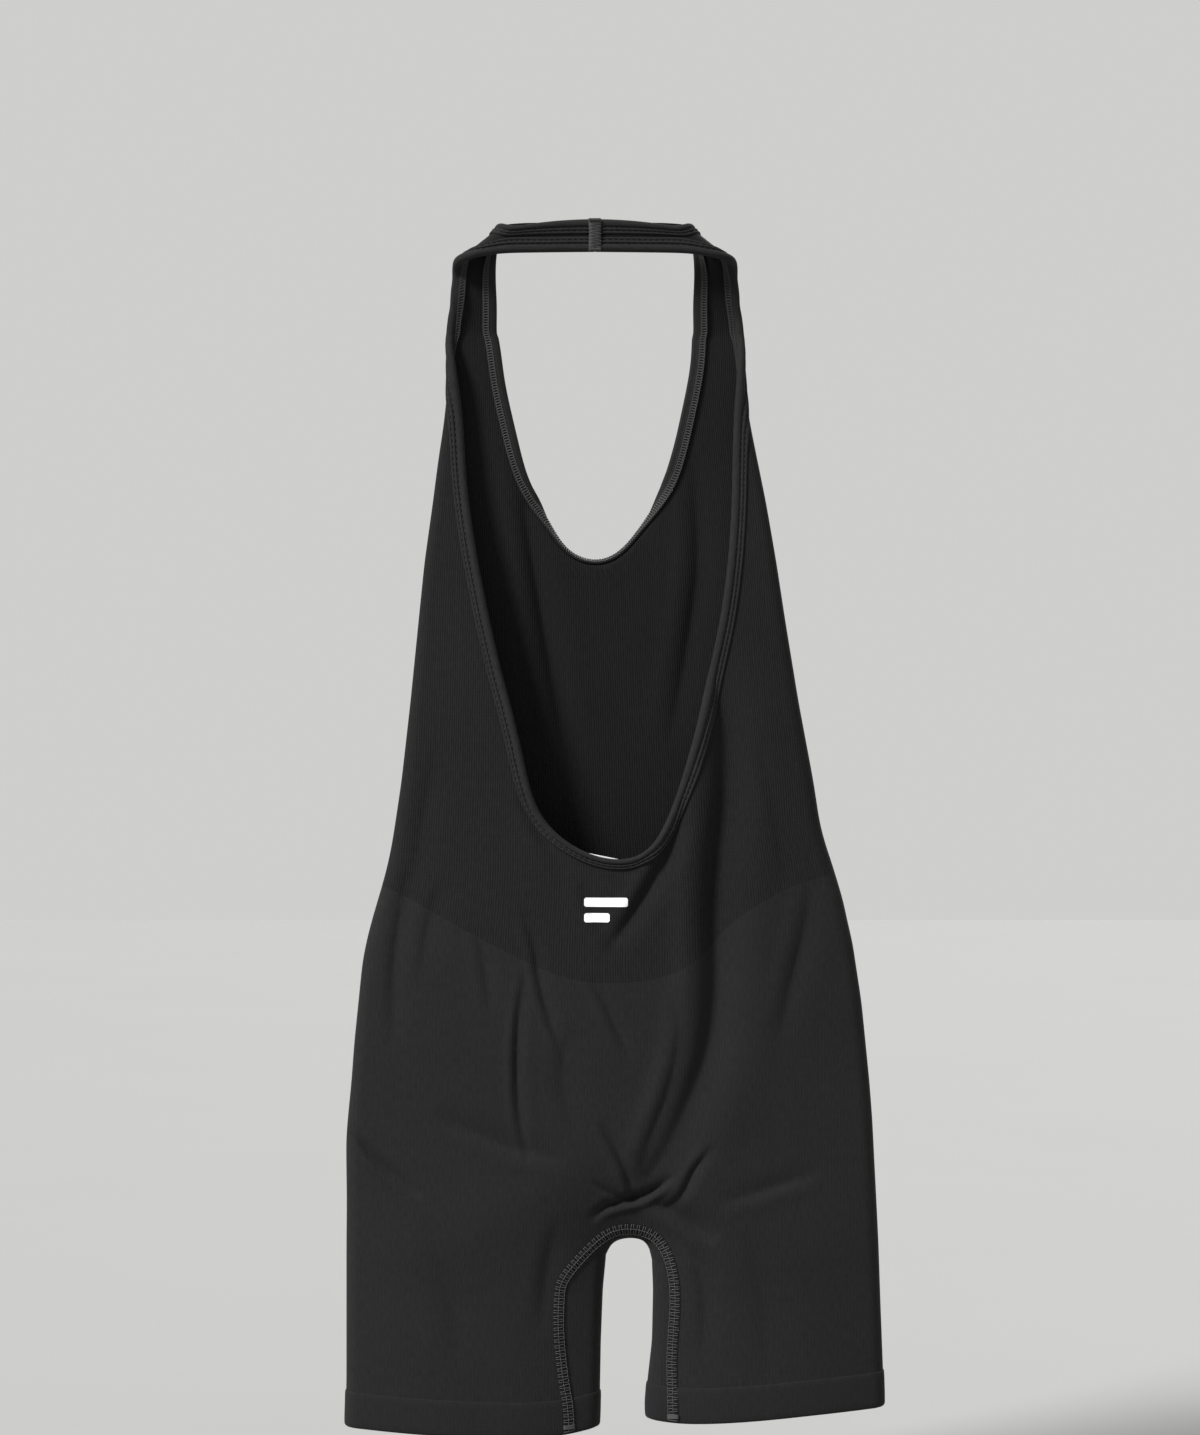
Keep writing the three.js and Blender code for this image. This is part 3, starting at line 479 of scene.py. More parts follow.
# Each crease: the places that it goes through, its depth and width, and where they differ from the usual
# its lips and steepness.
BACK_CREASES = (
    (((52, -205), (62, -240), (69.5, -272), (71, -310), (67.5, -345), (65, -380), (65.2, -415),
      (62, -450), (53, -481), (39.4, -512), (24, -536), (14, -546)), 7, 10, 0.4, 1.9),
    (((45, -424), (46, -450), (40, -478), (30, -505), (23, -530)), 2.2, 5, 0.3),
    (((50, -322), (40, -347), (31, -364), (20, -382), (6, -404)), 3.6, 4.6, 0.3),
    (((-10, -366), (0, -384), (10, -400)), 1.6, 4, 0.3),
    (((-40, -380), (-34, -398), (-31, -418), (-25, -440), (-16, -462)), 2.2, 2.8, 0.3, 1.4),
    (((-38, -412), (-42, -436), (-43.5, -464), (-42, -492), (-36, -520)), 2.4, 2.6, 0.4, 1.4),
    (((-4, -416), (5, -430), (12, -446), (20, -462)), 1.8, 3, 0.3, 1.4),
    (((-66, -388), (-61, -410), (-57, -438)), 1.1, 3.6, 0.3),
    (((-102, -352), (-108, -385), (-111.5, -418), (-111, -456)), 1.7, 5, 0.3),
    (((-84, -362), (-92, -388), (-97, -424)), 1, 5, 0.3),
    (((120, -362), (115, -392), (108, -420), (101, -452)), 1.8, 5.5, 0.3),
    (((-146, -486), (-133, -506), (-118, -521), (-96, -538)), 3.4, 2.6, 0.4, 1.5),
    (((-3, -551), (6, -543), (17, -540.5), (30, -536), (44, -525)), 4.4, 2.2, 0.35, 1.4),
    (((-2, -528), (9, -536), (24, -541)), 2.4, 2, 0.3, 1.4),
    (((2, -496), (12, -512), (18, -526), (21, -541)), 2.6, 3, 0.3),
    (((30, -539), (46, -547), (66, -563)), 4.4, 5, 0.25),
    (((66, -508), (54, -522), (47, -537), (36, -545)), 2.4, 2.6, 0.3, 1.4),
    (((66, -541), (92, -534), (126, -523)), 1.5, 4.5, 0.3),
    (((-90, -492), (-66, -502), (-44, -511), (-16, -517)), 2, 5.5, 0.25),
    (((-44, -316), (-32, -336), (-16, -362)), 1.5, 3.4, 0.3),
    (((-12, -440), (-18, -472), (-10, -504)), 1.1, 6, 0.3),
    (((90, -284), (99, -324), (106, -368)), 1.1, 7, 0.3),
    (((-86, -284), (-94, -326), (-101, -372)), 1.1, 7, 0.3),
    (((-95, -550), (-80, -590), (-74, -635)), 1, 10, 0.3),
    (((84, -550), (92, -590), (96, -640)), 1, 10, 0.3),
    (((-20, -548), (-27, -578), (-30, -612)), 1.5, 5.5, 0.3),
    (((54, -562), (60, -592), (60, -628)), 1.3, 5.5, 0.3),
)
FRONT_CREASES = (
    (((-43, -122), (-38, -165), (-32, -205), (-24, -252), (-12, -320)), -3.6, 6, 0.3),
    (((55, -125), (57.5, -187.3), (52, -231.6), (42, -290)), -2.6, 7, 0.3),
    (((-60, -400), (-52, -450), (-30, -505), (2, -540)), 3.6, 8, 0.3),
    (((84, -380), (80, -440), (62, -500), (36, -538)), 3.6, 8, 0.3),
    (((14, -420), (18, -470), (20, -530)), 2.2, 7, 0.3),
    (((-86, -150), (-84, -200), (-88, -260), (-96, -330)), 2, 8, 0.3),
    (((88, -150), (90, -200), (96, -270), (106, -340)), 2, 8, 0.3),
)
CREASES = tuple(Crease(Face.BACK, *row) for row in BACK_CREASES)
CREASES += tuple(Crease(Face.FRONT, *row) for row in FRONT_CREASES)


@dataclass
class Form:
    """The surface that the cloth hangs in: two faces that meet in a rounded fold down each side."""

    outline: tuple[tuple[float, float, float], ...] = (
        (-59.8, -80.9, 80.9), (-87.5, -81.4, 82.5), (-109.7, -83.7, 85.9), (-131.9, -87, 90.3),
        (-154, -89.7, 94.7), (-187.3, -94.2, 100.3), (-220.5, -97.5, 105.3), (-264.8, -101.9, 112.5),
        (-309.1, -106.9, 120.8), (-331.3, -110.2, 124.1), (-342.4, -111.9, 126.9),
        (-353.5, -114.1, 130.7), (-364.5, -116.9, 134.1), (-375.6, -120.2, 137.4),
        (-386.7, -123.5, 139.6), (-397.8, -126.3, 142.4), (-408.9, -128.5, 144), (-431, -130.7, 147.4),
        (-453.2, -133, 149.6), (-475.3, -134.6, 151.8), (-497.5, -136.8, 153.5), (-508.6, -137.6, 154),
        (-541.8, -137.2, 155.7), (-564, -137.4, 156.8), (-597.2, -137.4, 157.9), (-641.5, -137.4, 159.6),
        (-668, -138, 160),
    )
    depths: tuple[tuple[float, float], ...] = (
        (-60, 5), (-84, 5), (-110, 5.5), (-140, 7.5), (-187, 11.5), (-220, 13.5), (-265, 15.5),
        (-309, 17), (-331, 17.5), (-376, 19), (-409, 20), (-453, 21), (-508, 21), (-545, 20), (-590, 17),
        (-668, 17),
    )
    middles: tuple[tuple[float, float], ...] = (
        (-60, 11), (-110, 11), (-140, 9), (-187, 5), (-220, 4), (-265, 3.2), (-331, 3), (-668, 3),
    )
    folds: tuple[tuple[float, float], ...] = (
        (-60, 4), (-110, 4.2), (-187, 5.5), (-265, 6.5), (-331, 7), (-545, 7), (-590, 6.5), (-668, 6.5),
    )
    waistline: tuple[tuple[float, float], ...] = (
        (-140, -360), (-113, -368), (-84, -384), (-63, -395), (-46, -404), (-29, -411.5), (-12, -418),
        (5, -419.5), (21.6, -419), (42.7, -414.7), (59.5, -404), (76.3, -386), (97.4, -372),
        (112, -365.5), (127, -361), (150, -357),
    )
    inner_legs: tuple[tuple[float, float, float], ...] = (
        (-571, 5.8, 31.9), (-590, 3.9, 32.7), (-619, 2.8, 32.1), (-641, 2.4, 29.6), (-653, 2.2, 28.6),
        (-672, 1.5, 29.4),
    )
    arch: tuple[tuple[float, float], ...] = (
        (5.8, -571.3), (8, -566.5), (11, -563.8), (15, -562.3), (20.6, -561.8), (26, -562.8),
        (29, -565.2), (31, -569), (31.9, -574),
    )
    creases: tuple[Crease, ...] = CREASES
    legs_round: tuple[float, float] = (-500.0, -575.0)
    leg_half: float = 70.0
    gap_felt_below: float = -470.0
    gap_slope: float = 55.0
    far_off: float = 200.0
    crease_margin: float = 16.0

    def __post_init__(self) -> None:
        """Evens out the tables."""
        self.left = Profile([(z, a) for z, a, _ in self.outline])
        self.right = Profile([(z, b) for z, _, b in self.outline])
        self.depth = Profile(self.depths, 8.0)
        self.middle = Profile(self.middles, 8.0)
        self.fold = Profile(self.folds, 8.0)
        self.inner_left = Profile([(z, a) for z, a, _ in self.inner_legs], 3.0)
        self.inner_right = Profile([(z, b) for z, _, b in self.inner_legs], 3.0)
        self.waist_path = even_path(self.waistline, 2.0, 7.0)
        columns = np.linspace(self.arch[0][0], self.arch[-1][0], 27)[1:-1]
        down = np.arange(0.0, 104.0, 2.0)
        left, right = self.arch[0][1] - down, self.arch[-1][1] - down
        self.gap_path = np.vstack(
            [
                together(self.inner_left(left), left)[::-1],
                together(columns, self.arch_height(columns)),
                together(self.inner_right(right), right),
            ]
        )

    def arch_height(self, x: Array) -> Array:
        """Height of the arch between the legs, with its two corners at the ends of a row."""
        line = even_path(self.arch, 1.0, 1.5)
        return np.interp(x, line[:, 0], line[:, 1])

    def waist(self, x: Array) -> Array:
        """Height of the line where the ribbed bodice turns into the plain shorts."""
        return np.interp(x, self.waist_path[:, 0], self.waist_path[:, 1])

    def span(self, z: Array) -> Array:
        """Distance round one face at a height, from a side fold to the middle."""
        half = (self.right(z) - self.left(z)) / 2
        return half - self.fold(z) + self.fold(z) * math.pi / 2

    def height(self, face: Array | int, x: Array, z: Array) -> Array:
        """How far through the garment the cloth lies.

        Args:
            face: 1 on the front and -1 on the back.
            x: Places across the garment.
            z: Their heights.

        Returns:
            The cloth's Y at each place.
        """
        left, right = self.left(z), self.right(z)
        fold, depth = self.fold(z), self.depth(z)
        out = np.maximum(np.minimum(x - left, right - x), 0.0)
        near_legs = softly(*self.legs_round, z)
        half = (right - left) / 2 * (1 - near_legs) + self.leg_half * near_legs
        gap = np.full(np.shape(x), self.far_off)
        low = z < self.gap_felt_below
        if low.any():
            gap[low] = distance_to_path(together(x[low], z[low]), self.gap_path)[0]
        rise = fold * rounded(out / fold) * rounded(gap / fold)
        rise += (depth - fold) * crowned(out / half) * crowned(gap / self.gap_slope)
        rise += self.relief(face, x, z) * crowned(np.minimum(out, gap) / self.crease_margin)
        return self.middle(z) + face * rise

    def relief(self, face: Array | int, x: Array, z: Array) -> Array:
        """Sum of the soft folds' moves, outward, at places on a face.

        Args:
            face: 1 on the front and -1 on the back.
            x: Places across the garment.
            z: Their heights.

        Returns:
            The move at each place.
        """
        total = np.zeros(np.shape(x))
        for crease in self.creases:
            total += np.where(np.asarray(face) == crease.face.value, crease.relief(x, z), 0.0)
        return total

    def point(self, face: Face, flat: Array, z: Array) -> Array:
        """A point of the tube from its place on one face spread flat.

        Args:
            face: The face that the flat places start on. Past a side fold they go on round the other face.
            flat: Distance from the face's middle, along the cloth.
            z: Height.

        Returns:
            The points.
        """
        side = np.where(flat < 0, -1.0, 1.0)
        around = self.span(z) - np.abs(flat)
        on = np.where(around < 0, -face.value, face.value)
        around = np.abs(around)
        fold = self.fold(z)
        inward = fold * (1 - np.cos(np.minimum(around / fold, math.pi / 2)))
        inward += np.maximum(around - fold * math.pi / 2, 0.0)
        x = np.where(side < 0, self.left(z) + inward, self.right(z) - inward)
        return together(x, self.height(on, x, z), z)

    def flat_place(self, x: Array, z: Array) -> Array:
        """Distance from the middle of a face, along the cloth, of places across the garment.

        Args:
            x: Places across the garment.
            z: Their heights.

        Returns:
            The distances, below 0 on the left.
        """
        middle = (self.left(z) + self.right(z)) / 2
        inward = np.where(x < middle, x - self.left(z), self.right(z) - x)
        fold = self.fold(z)
        turn = fold * np.arccos(np.clip(1 - inward / fold, -1.0, 1.0))
        around = np.where(inward < fold, turn, inward + fold * (math.pi / 2 - 1))
        return np.where(x < middle, -1.0, 1.0) * (self.span(z) - around)


# Edges and straps


@dataclass
class Strap:
    """One halter tail: up from the front, over the hanger, and across to the middle of the neck band."""

    form: Form
    side: int
    neck_at_top: float
    step: float = 2.2
    foot_blend: float = 24.0
    outer: tuple[tuple[float, float, float], ...] = (
        (80.4, 10.2, -47), (79.9, 9, -37), (78.7, 8, -27.8), (78.3, 2, -22.3), (74.9, -6, -21.2),
        (66.9, -8.4, -19.6), (52.9, -8.3, -17.2), (30.9, -8.2, -16.6), (0.25, -8.2, -16.3),
    )
    inner: tuple[tuple[float, float, float], ...] = (
        (54.7, 12.6, -47), (54.9, 9.4, -30), (51.4, 8, -5), (51.2, 2, -1), (48.5, -6, -0.2),
        (43.5, -8.4, 0.5), (36.5, -8.3, 0.9), (22.5, -8.2, 1), (0.25, -8.2, 1),
    )

    def __post_init__(self) -> None:
        """Lays out the strap's two edges, stop by stop."""
        turn = np.array([self.side, 1.0, 1.0])
        top = np.array([Z_TOP])
        self.span = float(self.form.span(top)[0])
        self.neck = abs(self.neck_at_top)
        self.base_outer = self.form.point(Face.FRONT, np.array([self.side * self.span]), top)[0]
        self.base_inner = self.form.point(Face.FRONT, np.array([self.side * self.neck]), top)[0]
        outer = smooth_curve([self.base_outer, *(np.array(p) * turn for p in self.outer)])
        inner = smooth_curve([self.base_inner, *(np.array(p) * turn for p in self.inner)])
        both = blurred(respaced(np.hstack([outer, inner]), self.step * math.sqrt(2)), 1.6)
        self.outers, self.inners = both[:, :3], both[:, 3:]
        self.along = lengths_along((self.outers + self.inners) / 2)
        self.rows = len(self.outers)

    def place(self, row: Array, share: Array) -> Array:
        """Points of the strap's cloth.

        Args:
            row: Whole numbers of stops along the strap.
            share: Shares of the way from its outer to its inner edge.

        Returns:
            The points.
        """
        outer, inner = self.outers[row], self.inners[row]
        ribbon = outer + (inner - outer) * share[..., None]
        around = self.span - share * (self.span - self.neck)
        tube = self.form.point(Face.FRONT, self.side * around, np.full(around.shape, Z_TOP))
        base = self.base_outer + (self.base_inner - self.base_outer) * share[..., None]
        fade = 1 - softly(0.0, self.foot_blend, self.along[row])
        return ribbon + (tube - base) * fade[..., None]


class Edge(Enum):
    """The two bound edges of the cloth."""

    NECKLINE = "neck"
    BACK_OPENING = "opening"


@dataclass
class EdgeStrip:
    """The strip of cloth beside one bound edge, from the neck seam, down, round the scoop, and back up."""

    edge: Edge
    form: Form
    straps: tuple[Strap, Strap]
    scoop: tuple[tuple[float, float], ...]
    step: float = 1.0
    reach: int = 16
    curl: float = 0.0
    curl_from: float = 10.0
    rolled: float = 5.6

    def __post_init__(self) -> None:
        """Lays out the strip: a row of points going in from the edge at each stop."""
        face = Face.FRONT if self.edge is Edge.NECKLINE else Face.BACK
        inward = np.arange(self.reach, dtype=float)
        x, z = np.array(self.scoop).T
        middle = even_path(together(self.form.flat_place(x, z), z), self.step, 7.0)
        middle = self.pinned(middle)
        way = unit(np.gradient(middle, axis=0))
        if self.curl:
            out = together(-way[:, 1], way[:, 0])
            shift = blurred(self.curl_share(middle[:, 1])[:, None], 6.0) * self.rolled
            middle = respaced(middle + out * shift, self.step)
            way = unit(np.gradient(middle, axis=0))
        self.cut = middle
        into = together(way[:, 1], -way[:, 0])
        places = middle[:, None] + into[:, None] * inward[None, :, None]
        scoop = self.form.point(face, places[..., 0], places[..., 1])
        left, right = (self.strap_rays(strap, inward) for strap in self.straps)
        self.foot = len(left) - 1
        rays = np.concatenate([left[::-1], scoop[1:-1], right])
        rays = blurred(rays, 1.2)
        along = unit(np.gradient(rays[:, 4], axis=0))
        across = unit(rays[:, 9] - rays[:, 2])
        sign = 1.0 if self.edge is Edge.NECKLINE else -1.0
        normal = unit(np.cross(along, across)) * sign
        if self.curl:
            rays = self.curled(rays, across, normal)
        self.rays = rays
        inner_way = unit(np.gradient(rays, axis=1))
        outer_way = unit(np.gradient(rays, axis=0))
        self.normals = unit(np.cross(outer_way, inner_way)) * sign
        self.into = inner_way
        self.lengths = lengths_along(rays[:, 5])
        self.total = float(self.lengths[-1])

    def pinned(self, path: Array) -> Array:
        """Moves the path's two ends to where the straps start.

        Args:
            path: Flat places along the edge.

        Returns:
            The moved path, evenly spaced again.
        """
        result = path.copy()
        left, right = self.straps
        flat = left.neck if self.edge is Edge.NECKLINE else left.span
        ends = (np.array([-flat, Z_TOP]), np.array([flat, Z_TOP]))
        count = len(path)
        fade = np.clip(1 - np.arange(count) / (count * 0.12), 0.0, 1.0)[:, None] ** 2
        result += (ends[0] - path[0]) * fade + (ends[1] - path[-1]) * fade[::-1]
        return respaced(result, self.step)

    def strap_rays(self, strap: Strap, inward: Array) -> Array:
        """Rows of points going in from a strap's edge.

        Args:
            strap: The strap.
            inward: Distances from its edge.

        Returns:
            A row of points at each of its stops, from its foot to the neck seam.
        """
        ruling = strap.inners - strap.outers
        width = np.linalg.norm(ruling, axis=1)
        edge = strap.inners if self.edge is Edge.NECKLINE else strap.outers
        way = unit(np.gradient(edge, axis=0))
        lean = np.linalg.norm(np.cross(way, ruling / width[:, None]), axis=1)
        share = inward[None] / (np.maximum(blurred(lean, 3.0), 0.45) * width)[:, None]
        if self.edge is Edge.NECKLINE:
            share = 1 - share
        row = np.broadcast_to(np.arange(strap.rows)[:, None], share.shape)
        coarse = strap.place(row, share).reshape(strap.rows, -1)
        return respaced(coarse, self.step * math.sqrt(len(inward))).reshape(-1, len(inward), 3)

    def curl_share(self, z: Array) -> Array:
        """How far the edge is rolled at a height, from 0 to 1."""
        return softly(-138.0, -172.0, z)

    def curled(self, rays: Array, across: Array, normal: Array) -> Array:
        """Rolls the edge outward round the bottom of the scoop.

        Args:
            rays: Rows of points going in from the edge.
            across: Direction going in at each stop.
            normal: Direction that the cloth faces at each stop.

        Returns:
            The rolled rows.
        """
        middle = self.foot < np.arange(len(rays))
        middle &= np.arange(len(rays)) < len(rays) - self.foot - 1
        amount = blurred((self.curl_share(rays[:, 5, 2]) * middle)[:, None], 6.0)[:, 0] * self.curl
        result = rays.copy()
        first = int(self.curl_from)
        for j in range(first - 1, -1, -1):
            angle = amount * float(softly(0.0, self.curl_from - 3.0, np.array(self.curl_from - j - 0.5)))
            step = -across * np.cos(angle)[:, None] + normal * np.sin(angle)[:, None]
            result[:, j] = result[:, j + 1] + step
        return result

    def conform(self, points: Array, flat: Array, z: Array) -> tuple[Array, Array]:
        """Moves a face's points near the edge to where the strip lies.

        Args:
            points: Points of the face.
            flat: Their flat places across it.
            z: Their heights.

        Returns:
            The moved points, and how far each lies in from the edge, below 0 where there is no cloth.
        """
        distance, side, share = distance_to_path(together(flat, z), self.cut)
        inward = np.where(side < 0, distance, -distance)
        near = (inward > 0) & (inward < self.reach - 1.5) & (share > 0) & (share < 1)
        index = self.foot + share[near] * (len(self.cut) - 1)
        length = np.interp(index, np.arange(len(self.lengths)), self.lengths)
        result = points.copy()
        result[near] = self.at(length, inward[near])[0]
        return result, inward

    def at(self, length: Array, inward: Array, lift: Array | float = 0.0) -> tuple[Array, Array]:
        """Places beside the edge.

        Args:
            length: Length along the strip.
            inward: Distance in from the edge, below 0 past it.
            lift: Distance out from the cloth's middle.

        Returns:
            The points, and the directions that the cloth faces there.
        """
        length, inward, lift = np.broadcast_arrays(length, inward, lift)
        i = np.interp(length, self.lengths, np.arange(len(self.lengths)))
        i0 = np.clip(np.floor(i).astype(int), 0, len(self.lengths) - 2)
        j0 = np.clip(np.floor(inward).astype(int), 0, self.reach - 2)
        s, t = (i - i0)[..., None], (inward - j0)[..., None]

        def mixed(table: Array) -> Array:
            """Reads a table between its four nearest places.

            Args:
                table: A number or a point for each place of the strip.

            Returns:
                The number or point at each place that is asked for.
            """
            near = table[i0, j0] * (1 - t) + table[i0, j0 + 1] * t
            far = table[i0 + 1, j0] * (1 - t) + table[i0 + 1, j0 + 1] * t
            return near * (1 - s) + far * s

        normal = unit(mixed(self.normals))
        return mixed(self.rays) + normal * lift[..., None], normal


# Finishes


class NodeSheet:
    """A new material and the nodes that make its pattern."""

    def __init__(self, name: str) -> None:
        """Starts a material with one shader.

        Args:
            name: The material's name.
        """
        self.material = bpy.data.materials.new(name)
        self.material.use_nodes = True
        self.tree = self.material.node_tree
        self.shader = self.tree.nodes["Principled BSDF"]

    def node(
        self, kind: str, inputs: dict[str | int, object] | None = None, **settings: object
    ) -> bpy.types.Node:
        """Adds a node.

        Args:
            kind: Its type.
            inputs: What goes into its sockets: a number, a colour or another node's socket.
            settings: Its own settings.

        Returns:
            The node.
        """
        node = self.tree.nodes.new(kind)
        for name, value in settings.items():
            setattr(node, name, value)
        for key, value in (inputs or {}).items():
            self.join(value, node.inputs[key])
        return node

    def join(self, value: object, socket: bpy.types.NodeSocket) -> None:
        """Gives a socket a value or another node's output.

        Args:
            value: A number, a colour or another node's output.
            socket: The socket that takes it.
        """
        if isinstance(value, bpy.types.NodeSocket):
            self.tree.links.new(value, socket)
        else:
            socket.default_value = value

    def sum(self, kind: str, a: object, b: object = 0.0, c: object = 0.0) -> bpy.types.NodeSocket:
        """Works out one sum of the given kind."""
        return self.node("ShaderNodeMath", {0: a, 1: b, 2: c}, operation=kind).outputs[0]

    def wave(self, kind: str, turns: object) -> bpy.types.NodeSocket:
        """A sine or cosine moved to run from 0 to 1."""
        return self.sum("MULTIPLY_ADD", self.sum(kind, turns), 0.5, 0.5)

    def noise(self, place: object, scale: float, detail: float = 2.0) -> bpy.types.NodeSocket:
        """A noise from 0 to 1 at a place."""
        inputs = {"Vector": place, "Scale": scale, "Detail": detail}
        return self.node("ShaderNodeTexNoise", inputs).outputs["Fac"]

    def stretched(self, place: object, x: float, y: float, z: float) -> bpy.types.NodeSocket:
        """A place with its three numbers multiplied."""
        return self.node("ShaderNodeMapping", {"Vector": place, "Scale": (x, y, z)}).outputs[0]

    def flat_place(self) -> tuple[bpy.types.NodeSocket, bpy.types.NodeSocket, bpy.types.NodeSocket]:
        """The place on the flat cloth, in metres: as a vector, its number across and its number along.

        Returns:
            The vector, the number across and the number along.
        """
        place = self.node("ShaderNodeUVMap", uv_map=CHART_NAME).outputs[0]
        parts = self.node("ShaderNodeSeparateXYZ", {0: place}).outputs
        return place, parts[0], parts[1]

    def solid_place(self) -> bpy.types.NodeSocket:
        """The place in the piece's own space."""
        return self.node("ShaderNodeTexCoord").outputs["Object"]

    def mix(self, share: object, low: object, high: object) -> bpy.types.NodeSocket:
        """A colour between two others.

        Args:
            share: How far towards the second colour, from 0 to 1.
            low: The first colour.
            high: The second colour.

        Returns:
            The mixed colour's output.
        """
        node = self.node("ShaderNodeMix", data_type="RGBA")
        self.join(share, node.inputs["Factor"])
        self.join(low, node.inputs["A"])
        self.join(high, node.inputs["B"])
        return node.outputs["Result"]

    def dress(self, colour: object, height: object, relief: float, finish: "Surface") -> bpy.types.Material:
        """Joins a colour and a relief to the shader.

        Args:
            colour: The surface's colour.
            height: Its pattern's height, from 0 to 1.
            relief: The pattern's depth in millimetres.
            finish: The numbers that are the same all over it.

        Returns:
            The material.
        """
        self.join(colour, self.shader.inputs["Base Color"])
        bump = self.node("ShaderNodeBump", {"Strength": finish.relief_strength, "Distance": relief * MM})
        self.join(height, bump.inputs["Height"])
        self.join(bump.outputs[0], self.shader.inputs["Normal"])
        self.shader.inputs["Roughness"].default_value = finish.roughness
        self.shader.inputs["Specular IOR Level"].default_value = finish.specular
        self.shader.inputs["Sheen Weight"].default_value = finish.sheen
        self.shader.inputs["Sheen Roughness"].default_value = finish.sheen_roughness
        self.material.diffuse_color = (*finish.plain_colour, 1.0)
        return self.material


@dataclass(frozen=True)
class Surface:
    """How a finish takes the light, the same all over."""

    roughness: float
    specular: float
    sheen: float
    sheen_roughness: float
    relief_strength: float
    plain_colour: tuple[float, float, float]


def grey(level: float, warmth: float = 0.03) -> tuple[float, float, float, float]:
    """A dark grey, a little warmer than even."""
    return (level * (1 + warmth), level, level * (1 + warmth / 4), 1.0)


@dataclass(frozen=True)
class KnitFinish:
    """Fine knit: columns of loops, with soft streaks, a slight bloom, and painted shade in the valleys
    between the loops.
    """

    name: str
    slot: Slot
    light: float
    dark: float
    column: float = 1.15
    loop: float = 0.85
    rib_share: float = 0.6
    relief: float = 0.35
    streaks: float = 0.3
    sheen: float = 0.02

    def material(self) -> bpy.types.Material:
        """Makes the knit.

        Returns:
            The material.
        """
        sheet = NodeSheet(self.name)
        place, across, along = sheet.flat_place()
        wander = sheet.noise(sheet.stretched(place, 1.0, 0.035, 1.0), 330.0, 3.0)
        shifted = sheet.sum("MULTIPLY_ADD", wander, 0.9 * self.column * MM, across)
        turn = sheet.sum("MULTIPLY", shifted, 2 * math.pi / (self.column * MM))
        rib = sheet.wave("SINE", turn)
        slant = sheet.sum("MULTIPLY_ADD", sheet.sum("COSINE", turn), 0.16 * self.loop * MM, along)
        loop = sheet.wave("SINE", sheet.sum("MULTIPLY", slant, 2 * math.pi / (self.loop * MM)))
        ribs = sheet.sum("MULTIPLY", rib, self.rib_share)
        height = sheet.sum("MULTIPLY_ADD", loop, 1 - self.rib_share, ribs)
        fine = sheet.noise(sheet.stretched(place, 1.0, 0.22, 1.0), 900.0, 3.0)
        broad = sheet.noise(sheet.stretched(place, 1.0, 0.16, 1.0), 120.0, 4.0)
        cloud = sheet.noise(place, 14.0, 3.0)
        # The colour follows the loops' height as well as random yarn tone: the valleys between the loops are
        # painted shade.
        tone = sheet.sum("MULTIPLY_ADD", height, 0.55, sheet.sum("MULTIPLY_ADD", fine, 1.1, -0.35))
        tone = sheet.sum("MULTIPLY_ADD", sheet.sum("SUBTRACT", broad, 0.5), self.streaks * 2, tone)
        tone = sheet.sum("MULTIPLY_ADD", sheet.sum("SUBTRACT", cloud, 0.5), 0.35, tone)
        colour = sheet.mix(tone, grey(self.dark), grey(self.light))
        relief = sheet.sum("MULTIPLY_ADD", fine, 0.5, height)
        surface = Surface(0.9, 0.12, self.sheen, 0.45, 0.8, grey((self.light + self.dark) / 2)[:3])
        return sheet.dress(colour, relief, self.relief, surface)


@dataclass(frozen=True)
class TwistFinish:
    """Sewing thread: plies wound round each other."""

    name: str
    slot: Slot
    light: float
    dark: float

    def material(self) -> bpy.types.Material:
        """Makes the thread.

        Returns:
            The material.
        """
        sheet = NodeSheet(self.name)
        place = sheet.solid_place()
        fibres = sheet.noise(place, 2600.0, 2.0)
        drift = sheet.noise(place, 60.0, 2.0)
        tone = sheet.sum("MULTIPLY_ADD", fibres, 0.7, sheet.sum("MULTIPLY", drift, 0.4))
        colour = sheet.mix(tone, grey(self.dark), grey(self.light))
        surface = Surface(0.6, 0.35, 0.1, 0.4, 0.6, grey((self.light + self.dark) / 2)[:3])
        return sheet.dress(colour, fibres, 0.08, surface)


@dataclass(frozen=True)
class RibbonFinish:
    """Woven ribbon or tape: a close plain weave, with the weave's relief also painted into its colour as
    shade.
    """

    name: str
    slot: Slot
    light: float
    dark: float
    pitch: float = 0.35
    roughness: float = 0.6

    def material(self) -> bpy.types.Material:
        """Makes the ribbon.

        Returns:
            The material.
        """
        sheet = NodeSheet(self.name)
        place, across, along = sheet.flat_place()
        turn = 2 * math.pi / (self.pitch * MM)
        warp = sheet.sum("SINE", sheet.sum("MULTIPLY", across, turn))
        weft = sheet.sum("SINE", sheet.sum("MULTIPLY", along, turn))
        weave = sheet.sum("MULTIPLY_ADD", sheet.sum("MULTIPLY", warp, weft), 0.5, 0.5)
        soil = sheet.noise(place, 160.0, 3.0)
        # The weave's height also sets the colour: painted shade between the threads; the soil noise is
        # random tone.
        tone = sheet.sum("MULTIPLY_ADD", weave, 0.4, sheet.sum("MULTIPLY", soil, 0.7))
        colour = sheet.mix(tone, grey(self.dark, 0.01), grey(self.light, 0.01))
        surface = Surface(self.roughness, 0.4, 0.0, 0.5, 0.6, grey((self.light + self.dark) / 2)[:3])
        return sheet.dress(colour, weave, 0.06, surface)


